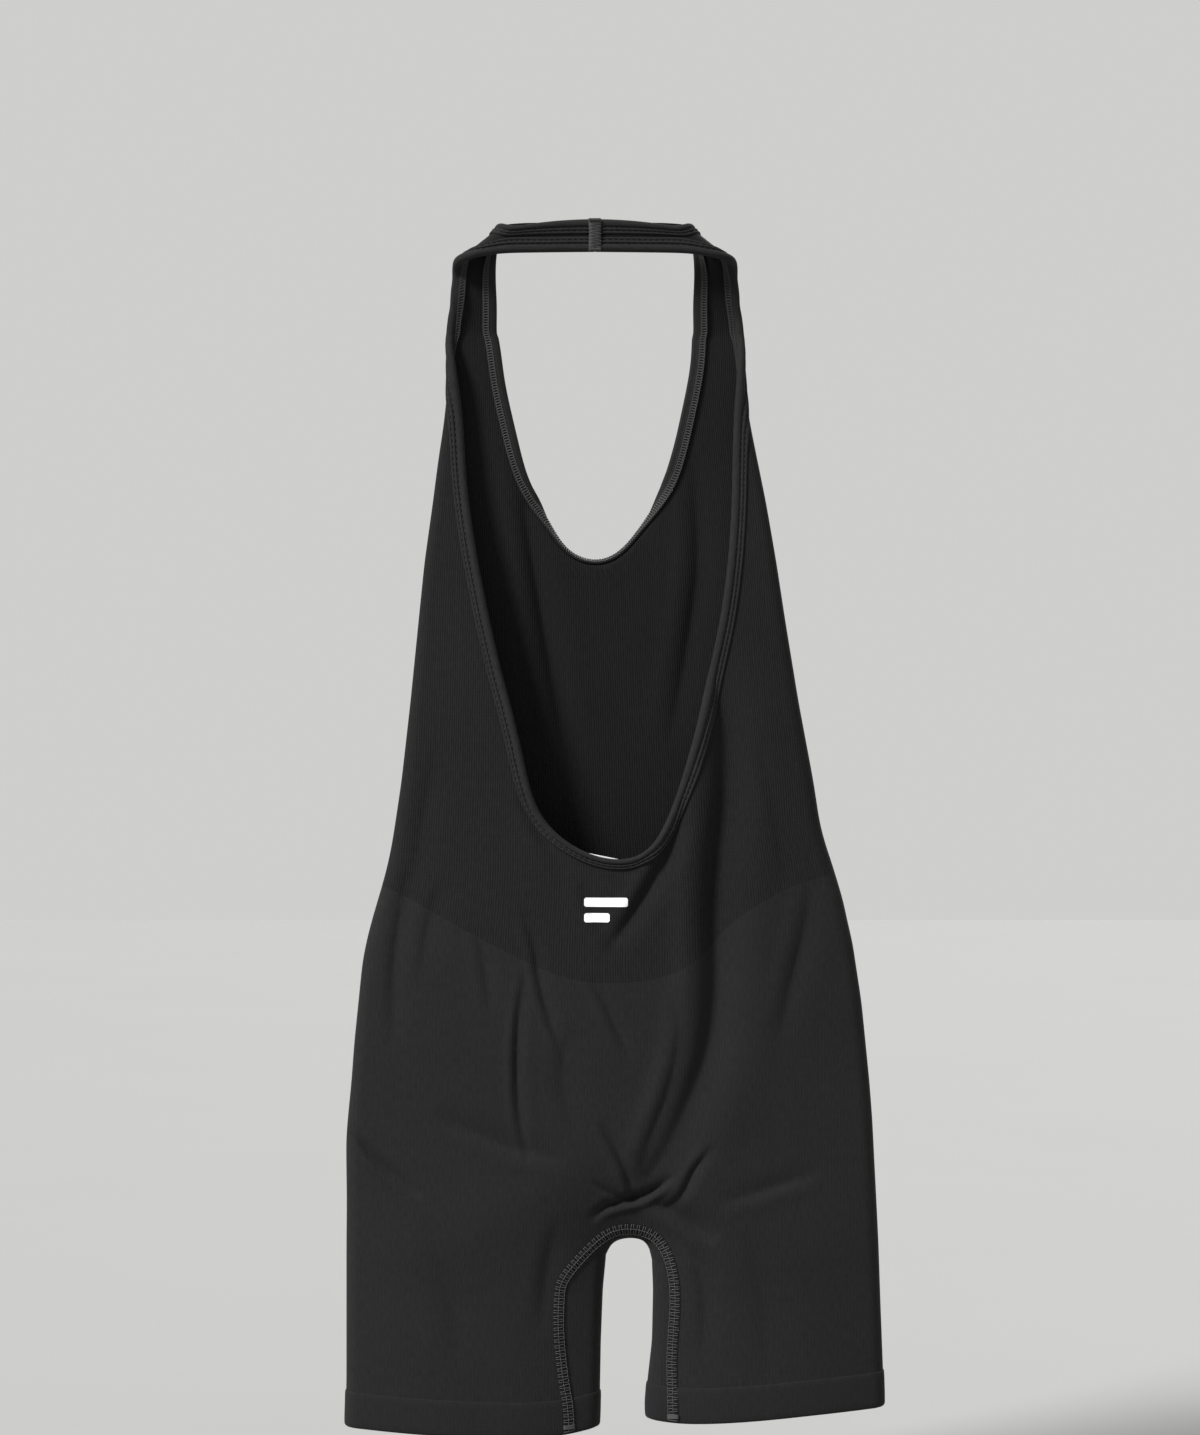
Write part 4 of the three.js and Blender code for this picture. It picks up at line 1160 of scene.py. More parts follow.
@dataclass(frozen=True)
class FilmFinish:
    """Heat-pressed reflective film: bright and even, with the knit showing faintly through as relief and as
    painted shade in its valleys.
    """

    name: str
    slot: Slot
    light: float
    dark: float
    column: float = 1.15

    def material(self) -> bpy.types.Material:
        """Makes the film.

        Returns:
            The material.
        """
        sheet = NodeSheet(self.name)
        place, across, _ = sheet.flat_place()
        height = sheet.wave("SINE", sheet.sum("MULTIPLY", across, 2 * math.pi / (self.column * MM)))
        beads = sheet.noise(place, 3000.0, 2.0)
        # The rib's height also darkens the film's colour in its valleys: painted shade.
        tone = sheet.sum("MULTIPLY_ADD", beads, 0.7, sheet.sum("MULTIPLY", height, 0.2))
        colour = sheet.mix(tone, grey(self.dark, 0.0), grey(self.light, 0.0))
        surface = Surface(0.35, 0.5, 0.0, 0.5, 0.35, grey(self.light, 0.0)[:3])
        return sheet.dress(colour, height, 0.08, surface)


PLAIN: dict[str, float] = {"column": 0.8, "loop": 0.7, "rib_share": 0.5, "relief": 0.2, "streaks": 0.05}
RIB = KnitFinish(
    "rib knit", Slot.RIB, 0.0136, 0.0058, column=1.3, loop=0.95, rib_share=0.65, relief=0.34, streaks=0.06
)
# The bodice's inner side is darker than its outer side: partly the knit's reverse, partly painted shade for
# the shadow inside the hanging garment.
RIB_INSIDE_SHADED = replace(
    RIB,
    name="rib knit inside with painted shade",
    light=0.0108,
    dark=0.0042,
    rib_share=0.7,
    relief=0.3,
    streaks=0.08,
    sheen=0.01,
)
JERSEY = KnitFinish(
    "smooth jersey",
    Slot.JERSEY,
    0.0176,
    0.0084,
    column=0.8,
    loop=0.65,
    rib_share=0.5,
    relief=0.22,
    streaks=0.07,
)
# The shorts' inner side is darker in the same way: partly the knit's reverse, partly painted shade.
JERSEY_INSIDE_SHADED = replace(JERSEY, name="smooth jersey inside with painted shade", light=0.012, dark=0.006, relief=0.2)
WELT = KnitFinish("welt knit", Slot.JERSEY, 0.0160, 0.0088, **{**PLAIN, "column": 0.9, "rib_share": 0.55})
BOUND = KnitFinish("binding knit", Slot.BINDING, 0.0215, 0.009, **PLAIN)
LINED = KnitFinish("lining knit", Slot.LINING, 0.013, 0.006, **PLAIN)
SEAM_GROUND = KnitFinish("seam ground", Slot.THREAD, 0.010, 0.004, **PLAIN)
BLACK_THREAD = TwistFinish("black thread", Slot.THREAD, 0.020, 0.006)
GREY_THREAD = TwistFinish("dark grey thread", Slot.THREAD, 0.062, 0.018)
SMOKE_THREAD = TwistFinish("smoke grey thread", Slot.THREAD, 0.036, 0.010)
TAPE = RibbonFinish("elastic tape", Slot.ELASTIC, 0.06, 0.02, pitch=0.6, roughness=0.75)
WHITE_RIBBON = RibbonFinish("white satin ribbon", Slot.LABEL, 0.86, 0.66)
FILM = FilmFinish("reflective film", Slot.PRINT, 0.92, 0.72)


class Wardrobe:
    """Makes each finish once and hands it out."""

    def __init__(self) -> None:
        """Starts with no finish made."""
        self.made: dict[str, bpy.types.Material] = {}

    def material(self, finish: KnitFinish | TwistFinish | RibbonFinish | FilmFinish) -> bpy.types.Material:
        """The material of a finish.

        Args:
            finish: Its finish.

        Returns:
            The material.
        """
        if finish.name not in self.made:
            self.made[finish.name] = finish.material()
        return self.made[finish.name]

    def piece(
        self,
        draft: Draft,
        name: str,
        finish: KnitFinish | TwistFinish | RibbonFinish | FilmFinish,
        stands_for: Sequence[str],
        body: Body = Body.GARMENT,
        inside: KnitFinish | None = None,
    ) -> bpy.types.Object:
        """Makes a piece, dresses it and puts it on its body.

        Args:
            draft: Its corners and faces.
            name: Its name.
            finish: Its finish.
            stands_for: The frame's nodes that it takes the place of.
            body: The body that it rides on.
            inside: Finish of its inner side, if that is another.

        Returns:
            The piece.
        """
        made = draft.make(name, [self.material(f) for f in (finish, inside) if f])
        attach(made, body.value)
        if stands_for:
            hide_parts(*stands_for)
        log.info("%s: %d corners, finish %s", name, len(draft.points), finish.name)
        return made


# The knitted tube


@dataclass
class Tube:
    """The seamless knit: a ribbed bodice that runs into its two halter tails, and plain shorts below."""

    form: Form
    straps: tuple[Strap, Strap]
    strips: dict[Edge, EdgeStrip]
    half_columns: int = 110
    fold_steps: int = 9
    bodice_rows: int = 170
    hip_rows: int = 96
    part_rows: int = 14
    leg_rows: int = 40
    left_leg_columns: int = 99
    gap_columns: int = 18
    thickness: float = 1.0
    cut_back: float = 2.0
    welt_height: float = 20.5
    wale_span: float = 118.0
    welt_lap: float = 2.0
    faces_apart: float = 400.0
    waist_start: float = -395.0
    waist_tries: int = 12
    legs_gather: tuple[float, float] = (-425.0, -535.0)
    well_below: float = 80.0
    rib_flat: tuple[float, float, float] = (0.50, 0.43, 0.1015)
    jersey_flat: tuple[float, float, float] = (0.59, 0.29, 0.152)

    def flats(self, z: Array) -> Array:
        """Flat places of a whole face's columns, from its left to its right fold.

        Args:
            z: Height at each column.

        Returns:
            Distances from the middle of the face, along the cloth.
        """
        columns = np.arange(2 * self.half_columns + 1)
        from_fold = np.minimum(columns, 2 * self.half_columns - columns)
        turned = self.form.fold(z) * math.pi / 2
        span = self.form.span(z)
        share = np.clip((from_fold - self.fold_steps) / (self.half_columns - self.fold_steps), 0.0, 1.0)
        around = turned * np.minimum(from_fold / self.fold_steps, 1.0) + (span - turned) * share
        return np.where(columns < self.half_columns, -1.0, 1.0) * (span - around)

    def waist_heights(self) -> Array:
        """Height of the waistline at each column.

        Returns:
            The heights, from the left fold to the right one.
        """
        z = np.full(2 * self.half_columns + 1, self.waist_start)
        for _ in range(self.waist_tries):
            x = self.form.point(Face.BACK, self.flats(z), z)[:, 0]
            z = self.form.waist(x)
        return z

    def chart_start(self, face: Face) -> float:
        """Where a face starts across the flat cloth, so that the two faces' patterns don't overlap."""
        return 0.0 if face is Face.FRONT else self.faces_apart

    def wales(self, flat: Array, z: Array) -> Array:
        """Places on the flat cloth, which is wider than the garment where the knit draws in."""
        drawn = np.sqrt(self.wale_span / self.form.span(z))
        return together(flat * drawn, z)

    def bodice(self, wardrobe: Wardrobe) -> bpy.types.Object:
        """Builds the ribbed bodice with both of its halter tails.

        Args:
            wardrobe: Where its finish comes from.

        Returns:
            The piece.
        """
        waist = self.waist_heights()
        share = np.linspace(0.0, 1.0, self.bodice_rows + 1)[:, None]
        z = waist[None] * (1 - share) + Z_TOP * share
        flat = self.flats(z)
        draft = Draft()
        for face in Face:
            edge = self.strips[Edge.NECKLINE if face is Face.FRONT else Edge.BACK_OPENING]
            points, inward = edge.conform(self.form.point(face, flat, z), flat, z)
            kept = inward > self.cut_back
            points[-1] = self.form.point(face, flat[-1], z[-1])
            quads = grid_quads(*z.shape)
            quads = quads[kept.reshape(-1)[quads].all(axis=1)]
            chart = self.wales(flat, z) + np.array([self.chart_start(face), 0.0])
            draft.add(points, quads[:, ::-1] if face is Face.FRONT else quads, chart)
            if face is Face.FRONT:
                self.add_straps(draft, flat[-1], kept[-1])
        draft.weld()
        draft.thicken(self.thickness)
        stands_for = ("front_bodice", "back_bodice", "left_halter_strap", "right_halter_strap")
        # The inner faces take the darker finish: partly the knit's reverse, partly painted shade.
        piece = wardrobe.piece(draft, "rib_knit_bodice", RIB, stands_for, inside=RIB_INSIDE_SHADED)
        self.declare(self.rib_flat)
        return piece

    def add_straps(self, draft: Draft, flat: Array, kept: Array) -> None:
        """Runs the front's outer columns on up both halter tails.

        Args:
            draft: The bodice.
            flat: Flat places of the top row.
            kept: Which of them have cloth.
        """
        for strap in self.straps:
            own = kept & (np.sign(flat) == strap.side)
            around = strap.span - np.abs(flat[own])
            share = np.broadcast_to(around / (strap.span - strap.neck), (strap.rows, own.sum()))
            row = np.broadcast_to(np.arange(strap.rows)[:, None], share.shape)
            keep_off = self.cut_back / np.linalg.norm(strap.inners - strap.outers, axis=1)[:, None]
            fade = softly(0.0, 20.0, strap.along)[:, None]
            held = np.clip(share, keep_off * fade, 1 - keep_off * fade)
            points = strap.place(row, held)
            drawn = self.wales(flat[own], np.full(own.sum(), Z_TOP))[:, 0]
            draft.add_grid(points, together(drawn, Z_TOP + strap.along[row]), flip=True)

    def leg_places(self, z: Array) -> Array:
        """Places across the garment that gather at the inner folds, column by column.

        Args:
            z: Height at each column, in rows.

        Returns:
            The places.
        """
        form, steps = self.form, self.fold_steps
        first, second = self.left_leg_columns, self.left_leg_columns + self.gap_columns
        inner_left = form.inner_left(np.minimum(z, form.arch[0][1]))
        inner_right = form.inner_right(np.minimum(z, form.arch[-1][1]))
        folded = 1 - np.cos(np.linspace(0.0, math.pi / 2, steps + 1))
        result = np.zeros(z.shape)
        for low, far, start, stop in (
            (0, first, form.left(z), inner_left),
            (second, z.shape[-1] - 1, inner_right, form.right(z)),
        ):
            count = far - low
            share = np.clip((np.arange(count + 1) - steps) / (count - 2 * steps), 0.0, 1.0)
            picked = (slice(None), slice(low, far + 1))
            fold = form.fold(z)[picked]
            turned = np.concatenate([folded, np.ones(count - steps)])
            near = start[picked] + fold * turned
            beyond = stop[picked] - fold * turned[::-1]
            result[picked] = near * (1 - share) + beyond * share
        share = np.arange(1, self.gap_columns) / self.gap_columns
        a, b = inner_left[:, first, None], inner_right[:, second, None]
        result[:, first + 1 : second] = a * (1 - share) + b * share
        return result

    def hip_block(self) -> tuple[Array, Array, Array]:
        """Rows of the shorts from the waistline down to where the legs part.

        Returns:
            Places across, heights, and flat places.
        """
        share = np.linspace(0.0, 1.0, self.hip_rows + 1)[:, None]
        z = self.waist_heights()[None] * (1 - share) + Z_PART * share
        flat = self.flats(z)
        even = self.form.point(Face.BACK, flat, z)[..., 0]
        x = even + (self.leg_places(z) - even) * softly(*self.legs_gather, z)
        return x, z, flat

    def shorts(self, wardrobe: Wardrobe) -> bpy.types.Object:
        """Builds the plain shorts, down to their welts.

        Args:
            wardrobe: Where its finish comes from.

        Returns:
            The piece.
        """
        draft = Draft()
        for face in Face:
            for x, z, closed in self.short_blocks():
                through = np.where(closed, self.form.middle(z), self.form.height(face.value, x, z))
                chart = together(x + self.chart_start(face), z)
                draft.add_grid(together(x, through, z), chart, flip=face is Face.BACK)
        draft.weld()
        draft.thicken(self.thickness)
        stands_for = ("front_shorts", "back_shorts")
        # The inner faces take the darker finish: partly the knit's reverse, partly painted shade.
        piece = wardrobe.piece(draft, "jersey_shorts", JERSEY, stands_for, inside=JERSEY_INSIDE_SHADED)
        self.declare(self.jersey_flat)
        return piece

    def short_blocks(self) -> list[tuple[Array, Array, Array]]:
        """Blocks of the shorts: hips, crotch and two legs.

        Returns:
            For each, places across, heights, and where the two faces meet.
        """
        x, z, _ = self.hip_block()
        first, second = self.left_leg_columns, self.left_leg_columns + self.gap_columns
        share = np.linspace(0.0, 1.0, self.part_rows + 1)[:, None]
        gap_x = x[-1, first : second + 1]
        gap_z = Z_PART * (1 - share) + self.form.arch_height(gap_x) * share
        meeting = np.zeros(gap_z.shape, bool)
        meeting[-1] = True
        blocks = [(x, z, np.zeros(z.shape, bool)), (np.broadcast_to(gap_x, gap_z.shape), gap_z, meeting)]
        blocks += [self.leg_block(side, self.welt_height - self.welt_lap) for side in (-1, 1)]
        return blocks

    def leg_block(self, side: int, short: float) -> tuple[Array, Array, Array]:
        """One leg, from where the legs part.

        Args:
            side: -1 for the left leg, 1 for the right.
            short: How far above the hem it ends.

        Returns:
            Places across, heights, and where the two faces meet.
        """
        first, second = self.left_leg_columns, self.left_leg_columns + self.gap_columns
        total = 2 * self.half_columns + 1
        corner = self.form.arch[0 if side < 0 else -1][1]
        upper = np.linspace(Z_PART, corner, self.part_rows + 1)
        end = hem_height(side, self.leg_places(np.full((1, total), corner - self.well_below))[0]) + short
        share = np.linspace(0.0, 1.0, self.leg_rows + 1)[1:, None]
        z = np.vstack([np.repeat(upper[:, None], total, axis=1), corner * (1 - share) + end * share])
        x = self.leg_places(z)
        own = slice(0, first + 1) if side < 0 else slice(second, total)
        meeting = np.zeros(z.shape, bool)
        meeting[self.part_rows :, first if side < 0 else second] = True
        return x[:, own], z[:, own], meeting[:, own]

    def declare(self, flat: tuple[float, float, float]) -> None:
        """Takes the sizes of the flat cloth that a piece is cut from, and does nothing with them.

        Args:
            flat: Width, length and area of its flat cloth, in metres and square metres.
        """
        width, length, area = flat


HEM_LEFT = ((-138, -665.9), (-94, -668.5), (-52, -670), (-20, -669.8), (1, -666))
HEM_RIGHT = ((30, -661.5), (46, -663.2), (85, -661), (116, -658.2), (160, -654.8))


def hem_height(side: int, x: Array) -> Array:
    """Height of a leg's lower edge.

    Args:
        side: -1 for the left leg, 1 for the right.
        x: Places across.

    Returns:
        The heights.
    """
    line = even_path(HEM_LEFT if side < 0 else HEM_RIGHT, 3.0, 9.0)
    return np.interp(x, line[:, 0], line[:, 1])


# Bindings, tapes and their stitching


@dataclass
class BoundEdge:
    """A knit binding folded over an edge, with the elastic inside it and the threads that hold it."""

    strip: EdgeStrip
    width: float = 7.7
    needle_inward: tuple[float, float] = (4.15, 6.15)
    stitch: float = 3.3
    stitch_gap: float = 0.75
    thread_radius: float = 0.21
    looper_from: float = 3.9
    looper_to: float = 7.3
    looper_pitch: float = 3.0
    roll: float = 0.0
    profile: tuple[tuple[float, float], ...] = (
        (0.9, -1.95), (0.15, -1.55), (-0.35, -0.75), (-0.45, 0.2), (-0.2, 1.15), (0.4, 1.9), (1.2, 2.4),
        (2.1, 2.5), (3, 2.3), (3.65, 1.75), (4.1, 0.95), (4.45, 1.5), (4.85, 2), (5.25, 2.05),
        (5.7, 1.65), (6.1, 0.95), (6.4, 1.35), (6.8, 1.7), (7.2, 1.65), (7.6, 1.25), (7.75, 0.75),
        (6.9, 0.7), (4.5, 0.72), (2, 0.75), (0.9, 0.5), (0.8, -0.6), (2, -1.1), (4.5, -1.1), (6.6, -1.1),
        (7.4, -1.15), (7.55, -1.5), (7.3, -1.85), (6.4, -1.9), (5.2, -2), (4, -2.1), (2.4, -2.2),
    )

    @property
    def label(self) -> str:
        """Short name of the edge."""
        return self.strip.edge.value

    @property
    def node_stem(self) -> str:
        """First words of the frame's nodes on this edge."""
        return "neckline" if self.strip.edge is Edge.NECKLINE else "back_opening"

    def narrowing(self, length: Array) -> Array:
        """How much the binding narrows where it rolls round the bottom of the scoop, from 0 to 1."""
        middle = self.strip.total / 2
        return self.roll * (1 - softly(25.0, 85.0, np.abs(length - middle)))

    def place(self, length: Array, inward: Array, lift: Array | float) -> tuple[Array, Array]:
        """A place on the binding, narrowed and plumped where it rolls.

        Args:
            length: Length along the edge.
            inward: Distance in from the edge.
            lift: Distance out from the cloth's middle.

        Returns:
            The points, and the directions that the cloth faces there.
        """
        length, inward, lift = np.broadcast_arrays(length, inward, lift)
        narrow = self.narrowing(length)
        return self.strip.at(length, inward * (1 - narrow), lift * (1 + 0.35 * narrow))

    def binding(self, wardrobe: Wardrobe) -> bpy.types.Object:
        """Builds the folded binding.

        Args:
            wardrobe: Where its finish comes from.

        Returns:
            The piece.
        """
        lengths = np.arange(0.0, self.strip.total, 1.1)
        lengths = np.append(lengths, self.strip.total)
        section = np.array(self.profile)
        points, _ = self.place(lengths[:, None], section[None, :, 0], section[None, :, 1])
        draft = Draft()
        round_section = lengths_along(np.vstack([section, section[:1]]))[:-1]
        chart = together(round_section[None], lengths[:, None])
        turn = self.strip.edge is Edge.NECKLINE
        draft.add_grid(points, chart, ring=True, flip=not turn)
        count = len(section)
        first, last = range(count), range(len(draft.points) - count, len(draft.points))
        draft.cap(list(first)[::-1] if turn else first)
        draft.cap(last if turn else list(last)[::-1])
        return wardrobe.piece(draft, f"{self.label}_binding", BOUND, (f"{self.node_stem}_binding",))

    def elastic(self, wardrobe: Wardrobe) -> bpy.types.Object:
        """Builds the elastic that lies flat inside the binding.

        Args:
            wardrobe: Where its finish comes from.

        Returns:
            The piece.
        """
        lengths = np.append(np.arange(0.3, self.strip.total - 0.3, 2.0), self.strip.total - 0.3)
        inward = np.linspace(1.4, 6.2, 6)
        points, _ = self.place(lengths[:, None], inward[None], -0.85)
        chart = together(inward[None], lengths[:, None])
        draft = Draft()
        draft.add_grid(points, chart, flip=self.strip.edge is Edge.BACK_OPENING)
        draft.thicken(0.35)
        return wardrobe.piece(draft, f"{self.label}_elastic", TAPE, (f"{self.node_stem}_elastic",))

    def needle_rows(self, wardrobe: Wardrobe) -> bpy.types.Object:
        """Builds the two rows of straight stitches that lie in the binding's grooves.

        Args:
            wardrobe: Where its finish comes from.

        Returns:
            The piece.
        """
        draft = Draft()
        share = np.array([0.0, 0.16, 0.5, 0.84, 1.0])
        dip = np.array([-0.35, 0.08, 0.16, 0.08, -0.35])
        size = np.array([0.6, 1.0, 1.05, 1.0, 0.6]) * self.thread_radius
        for inward in self.needle_inward:
            starts = np.arange(4.2, self.strip.total - 4.2 - self.stitch, self.stitch)
            lengths = starts[:, None] + share[None] * (self.stitch - self.stitch_gap)
            middles, ups = self.place(lengths, np.full(lengths.shape, inward), 1.12 + dip[None])
            add_threads(draft, middles, ups, size)
        name = f"{self.label}_needle_rows"
        return wardrobe.piece(draft, name, BLACK_THREAD, (f"{self.node_stem}_needle_stitching",))

    def looper_rows(self, wardrobe: Wardrobe) -> bpy.types.Object:
        """Builds the zigzag of looper threads that covers the binding's inner edge.

        Args:
            wardrobe: Where its finish comes from.

        Returns:
            The piece.
        """
        draft = Draft()
        pieces_each = 6
        for phase in (0.0, 0.5):
            count = int((self.strip.total - 9.0) / self.looper_pitch)
            stops = np.arange(count * pieces_each + 1) / pieces_each
            lengths = 4.5 + stops * self.looper_pitch
            swing = 0.5 - 0.5 * np.cos(2 * math.pi * (stops + phase))
            swing = softly(0.08, 0.92, swing)
            inward = self.looper_from + (self.looper_to - self.looper_from) * swing
            lift = -2.3 - 0.16 * np.cos(4 * math.pi * (stops + phase)) - 0.12 * phase
            middles, ups = self.place(lengths[None], inward[None], lift[None])
            add_threads(draft, middles, -ups, 0.22)
        name = f"{self.label}_looper_rows"
        finish = GREY_THREAD if self.strip.edge is Edge.NECKLINE else SMOKE_THREAD
        return wardrobe.piece(draft, name, finish, (f"{self.node_stem}_looper_stitching",))

    def build(self, wardrobe: Wardrobe) -> list[bpy.types.Object]:
        """Builds everything along the edge."""
        makers = (self.binding, self.elastic, self.needle_rows, self.looper_rows)
        return [make(wardrobe) for make in makers]


@dataclass
class NeckSeam:
    """The join in the middle of the neck band: overlocked, pressed flat and tacked at both ends."""

    low: float = -16.6
    high: float = 1.5
    front: float = -10.7
    width: float = 6.6
    pitch: float = 0.95
    bulge: float = 0.7
    inner_side: float = -4.9

    def overlock(self, wardrobe: Wardrobe) -> bpy.types.Object:
        """Builds the overlocked ridge with its cross threads.

        Args:
            wardrobe: Where its finish comes from.

        Returns:
            The piece.
        """
        draft = Draft()
        u = np.linspace(-1.0, 1.0, 15)
        v = np.linspace(0.0, 1.0, 25)[:, None]
        z = self.low + (self.high - self.low) * v
        ends = 0.75 + 0.25 * np.sin(math.pi * v)
        x = u * self.width / 2 * (0.96 + 0.05 * np.sin(9.0 * v))
        y = self.front + 0.1 - self.bulge * (1 - u**4) * ends
        draft.add_grid(together(x, y, z), together(x, z))
        draft.thicken(0.5)
        rows = np.arange(self.low + 0.4, self.high - 0.2, self.pitch)
        t = np.linspace(-1.0, 1.0, 9)
        wave = 0.4 * np.sin(1.7 * np.arange(len(rows)))[:, None]
        lean = np.where(np.arange(len(rows)) % 2, 1, -1)[:, None]
        heights = rows[:, None] + 0.45 * t[None] * lean + 0.1 * wave
        reach = t[None] * (self.width / 2 + 0.15 + 0.12 * wave)
        lift = self.front - self.bulge * (1 - t[None] ** 4) * 0.95 - 0.22 + 0.3 * np.abs(t[None]) ** 9
        middles = together(reach, lift, heights)
        add_threads(draft, middles, BACKWARD, 0.25)
        return wardrobe.piece(draft, "neck_overlock", SMOKE_THREAD, ("neck_seam_overlock",))

    def allowance(self, wardrobe: Wardrobe) -> bpy.types.Object:
        """Builds the seam allowance that lies flat on the band's inner side.

        Args:
            wardrobe: Where its finish comes from.

        Returns:
            The piece.
        """
        x = np.linspace(-3.0, 3.0, 9)
        z = np.linspace(self.low + 0.6, self.high - 0.8, 16)[:, None]
        y = self.inner_side + 0.15 * np.cos(x * 1.6)
        draft = Draft()
        draft.add_grid(together(x, y, z), together(x, z))
        draft.thicken(0.8)
        return wardrobe.piece(draft, "neck_allowance", BOUND, ("neck_seam_allowance",))

    def tack(self, wardrobe: Wardrobe, name: str, node: str, z: float) -> bpy.types.Object:
        """Builds one bar of close stitches across the seam's end.

        Args:
            wardrobe: Where its finish comes from.
            name: Its name.
            node: The frame's node that it stands for.
            z: Its height.

        Returns:
            The piece.
        """
        draft = Draft()
        across = np.linspace(-2.9, 2.9, 14)
        t = np.linspace(-1.0, 1.0, 7)
        lift = self.front - self.bulge - 0.35 - 0.45 * (1 - t[None] ** 2)
        x = across[:, None] + 0.12 * t[None]
        middles = together(x, lift, z + 0.75 * t[None])
        add_threads(draft, middles, BACKWARD, 0.26)
        return wardrobe.piece(draft, name, SMOKE_THREAD, (node,))

    def build(self, wardrobe: Wardrobe) -> list[bpy.types.Object]:
        """Builds the seam.

        Args:
            wardrobe: Where its finish comes from.

        Returns:
            The pieces.
        """
        return [
            self.overlock(wardrobe),
            self.allowance(wardrobe),
            self.tack(wardrobe, "neck_upper_tack", "neck_seam_upper_bartack", self.high - 0.9),
            self.tack(wardrobe, "neck_lower_tack", "neck_seam_lower_bartack", self.low + 0.9),
        ]


# Legs


@dataclass
class Welt:
    """A leg's turned hem: two layers knitted in one with the leg."""

    tube: Tube
    side: int
    height: float = 20.5
    profile: tuple[tuple[float, float], ...] = (
        (0, 0.35), (0.25, 0.1), (0.7, 0.75), (1.5, 1.05), (4, 1.15), (8, 1.15), (12, 1.2), (16, 1.2),
        (18.8, 1.15), (19.8, 0.85), (20.4, 0.3), (20.4, -0.4), (19.8, -0.9), (18.5, -1.15), (15, -1.2),
        (11, -1.2), (7, -1.2), (3, -1.15), (0.6, -0.95), (0.2, -0.6),
    )

    def build(self, wardrobe: Wardrobe) -> bpy.types.Object:
        """Builds the welt as one closed band round the leg.

        Args:
            wardrobe: Where its finish comes from.

        Returns:
            The piece.
        """
        form = self.tube.form
        x, z, meeting = self.tube.leg_block(self.side, 0.0)
        hem_z = z[-1]
        drops = np.linspace(-2.0, self.height + 1.0, 24)[:, None]
        total = 2 * self.tube.half_columns + 1
        rows = (hem_z + self.height)[None] - drops
        whole = np.zeros((len(drops), total))
        own = slice(0, self.tube.left_leg_columns + 1) if self.side < 0 else slice(total - len(hem_z), total)
        whole[:, own] = rows
        whole[:, [i for i in range(total) if not own.start <= i < own.stop]] = rows.mean()
        x = self.tube.leg_places(whole)[:, own]
        inner = -1 if self.side < 0 else 0
        halves = []
        for face in Face:
            y = form.height(face.value, x, rows)
            y[:, inner] = form.middle(rows[:, inner])
            halves.append(together(x, y, rows))
        ring = np.concatenate([halves[0], halves[1][:, -2:0:-1]], axis=1)
        along = unit(np.gradient(ring, axis=0))
        around = unit(np.roll(ring, -1, axis=1) - np.roll(ring, 1, axis=1))
        normals = unit(np.cross(around, along))
        section = np.array(self.profile)
        at = np.interp(section[:, 0], drops[:, 0], np.arange(len(drops)))
        low = np.clip(np.floor(at).astype(int), 0, len(drops) - 2)
        t = (at - low)[:, None, None]
        place = ring[low] * (1 - t) + ring[low + 1] * t
        facing = unit(normals[low] * (1 - t) + normals[low + 1] * t)
        points = place + facing * section[:, 1][:, None, None]
        points = np.concatenate([points, points[:1]])
        girth = lengths_along(np.vstack([ring[10], ring[10][:1]]))[:-1]
        rise = lengths_along(np.vstack([section, section[:1]]))
        chart = together(girth[None], rise[:, None])
        draft = Draft()
        draft.add_grid(points, chart, ring=True)
        draft.weld()
        if (draft.normals() * (draft.points - draft.points.mean(0))).sum() < 0:
            draft.quads = draft.quads[:, ::-1]
        side = "left" if self.side < 0 else "right"
        return wardrobe.piece(draft, f"{side}_welt", WELT, (f"{side}_leg_hem",))


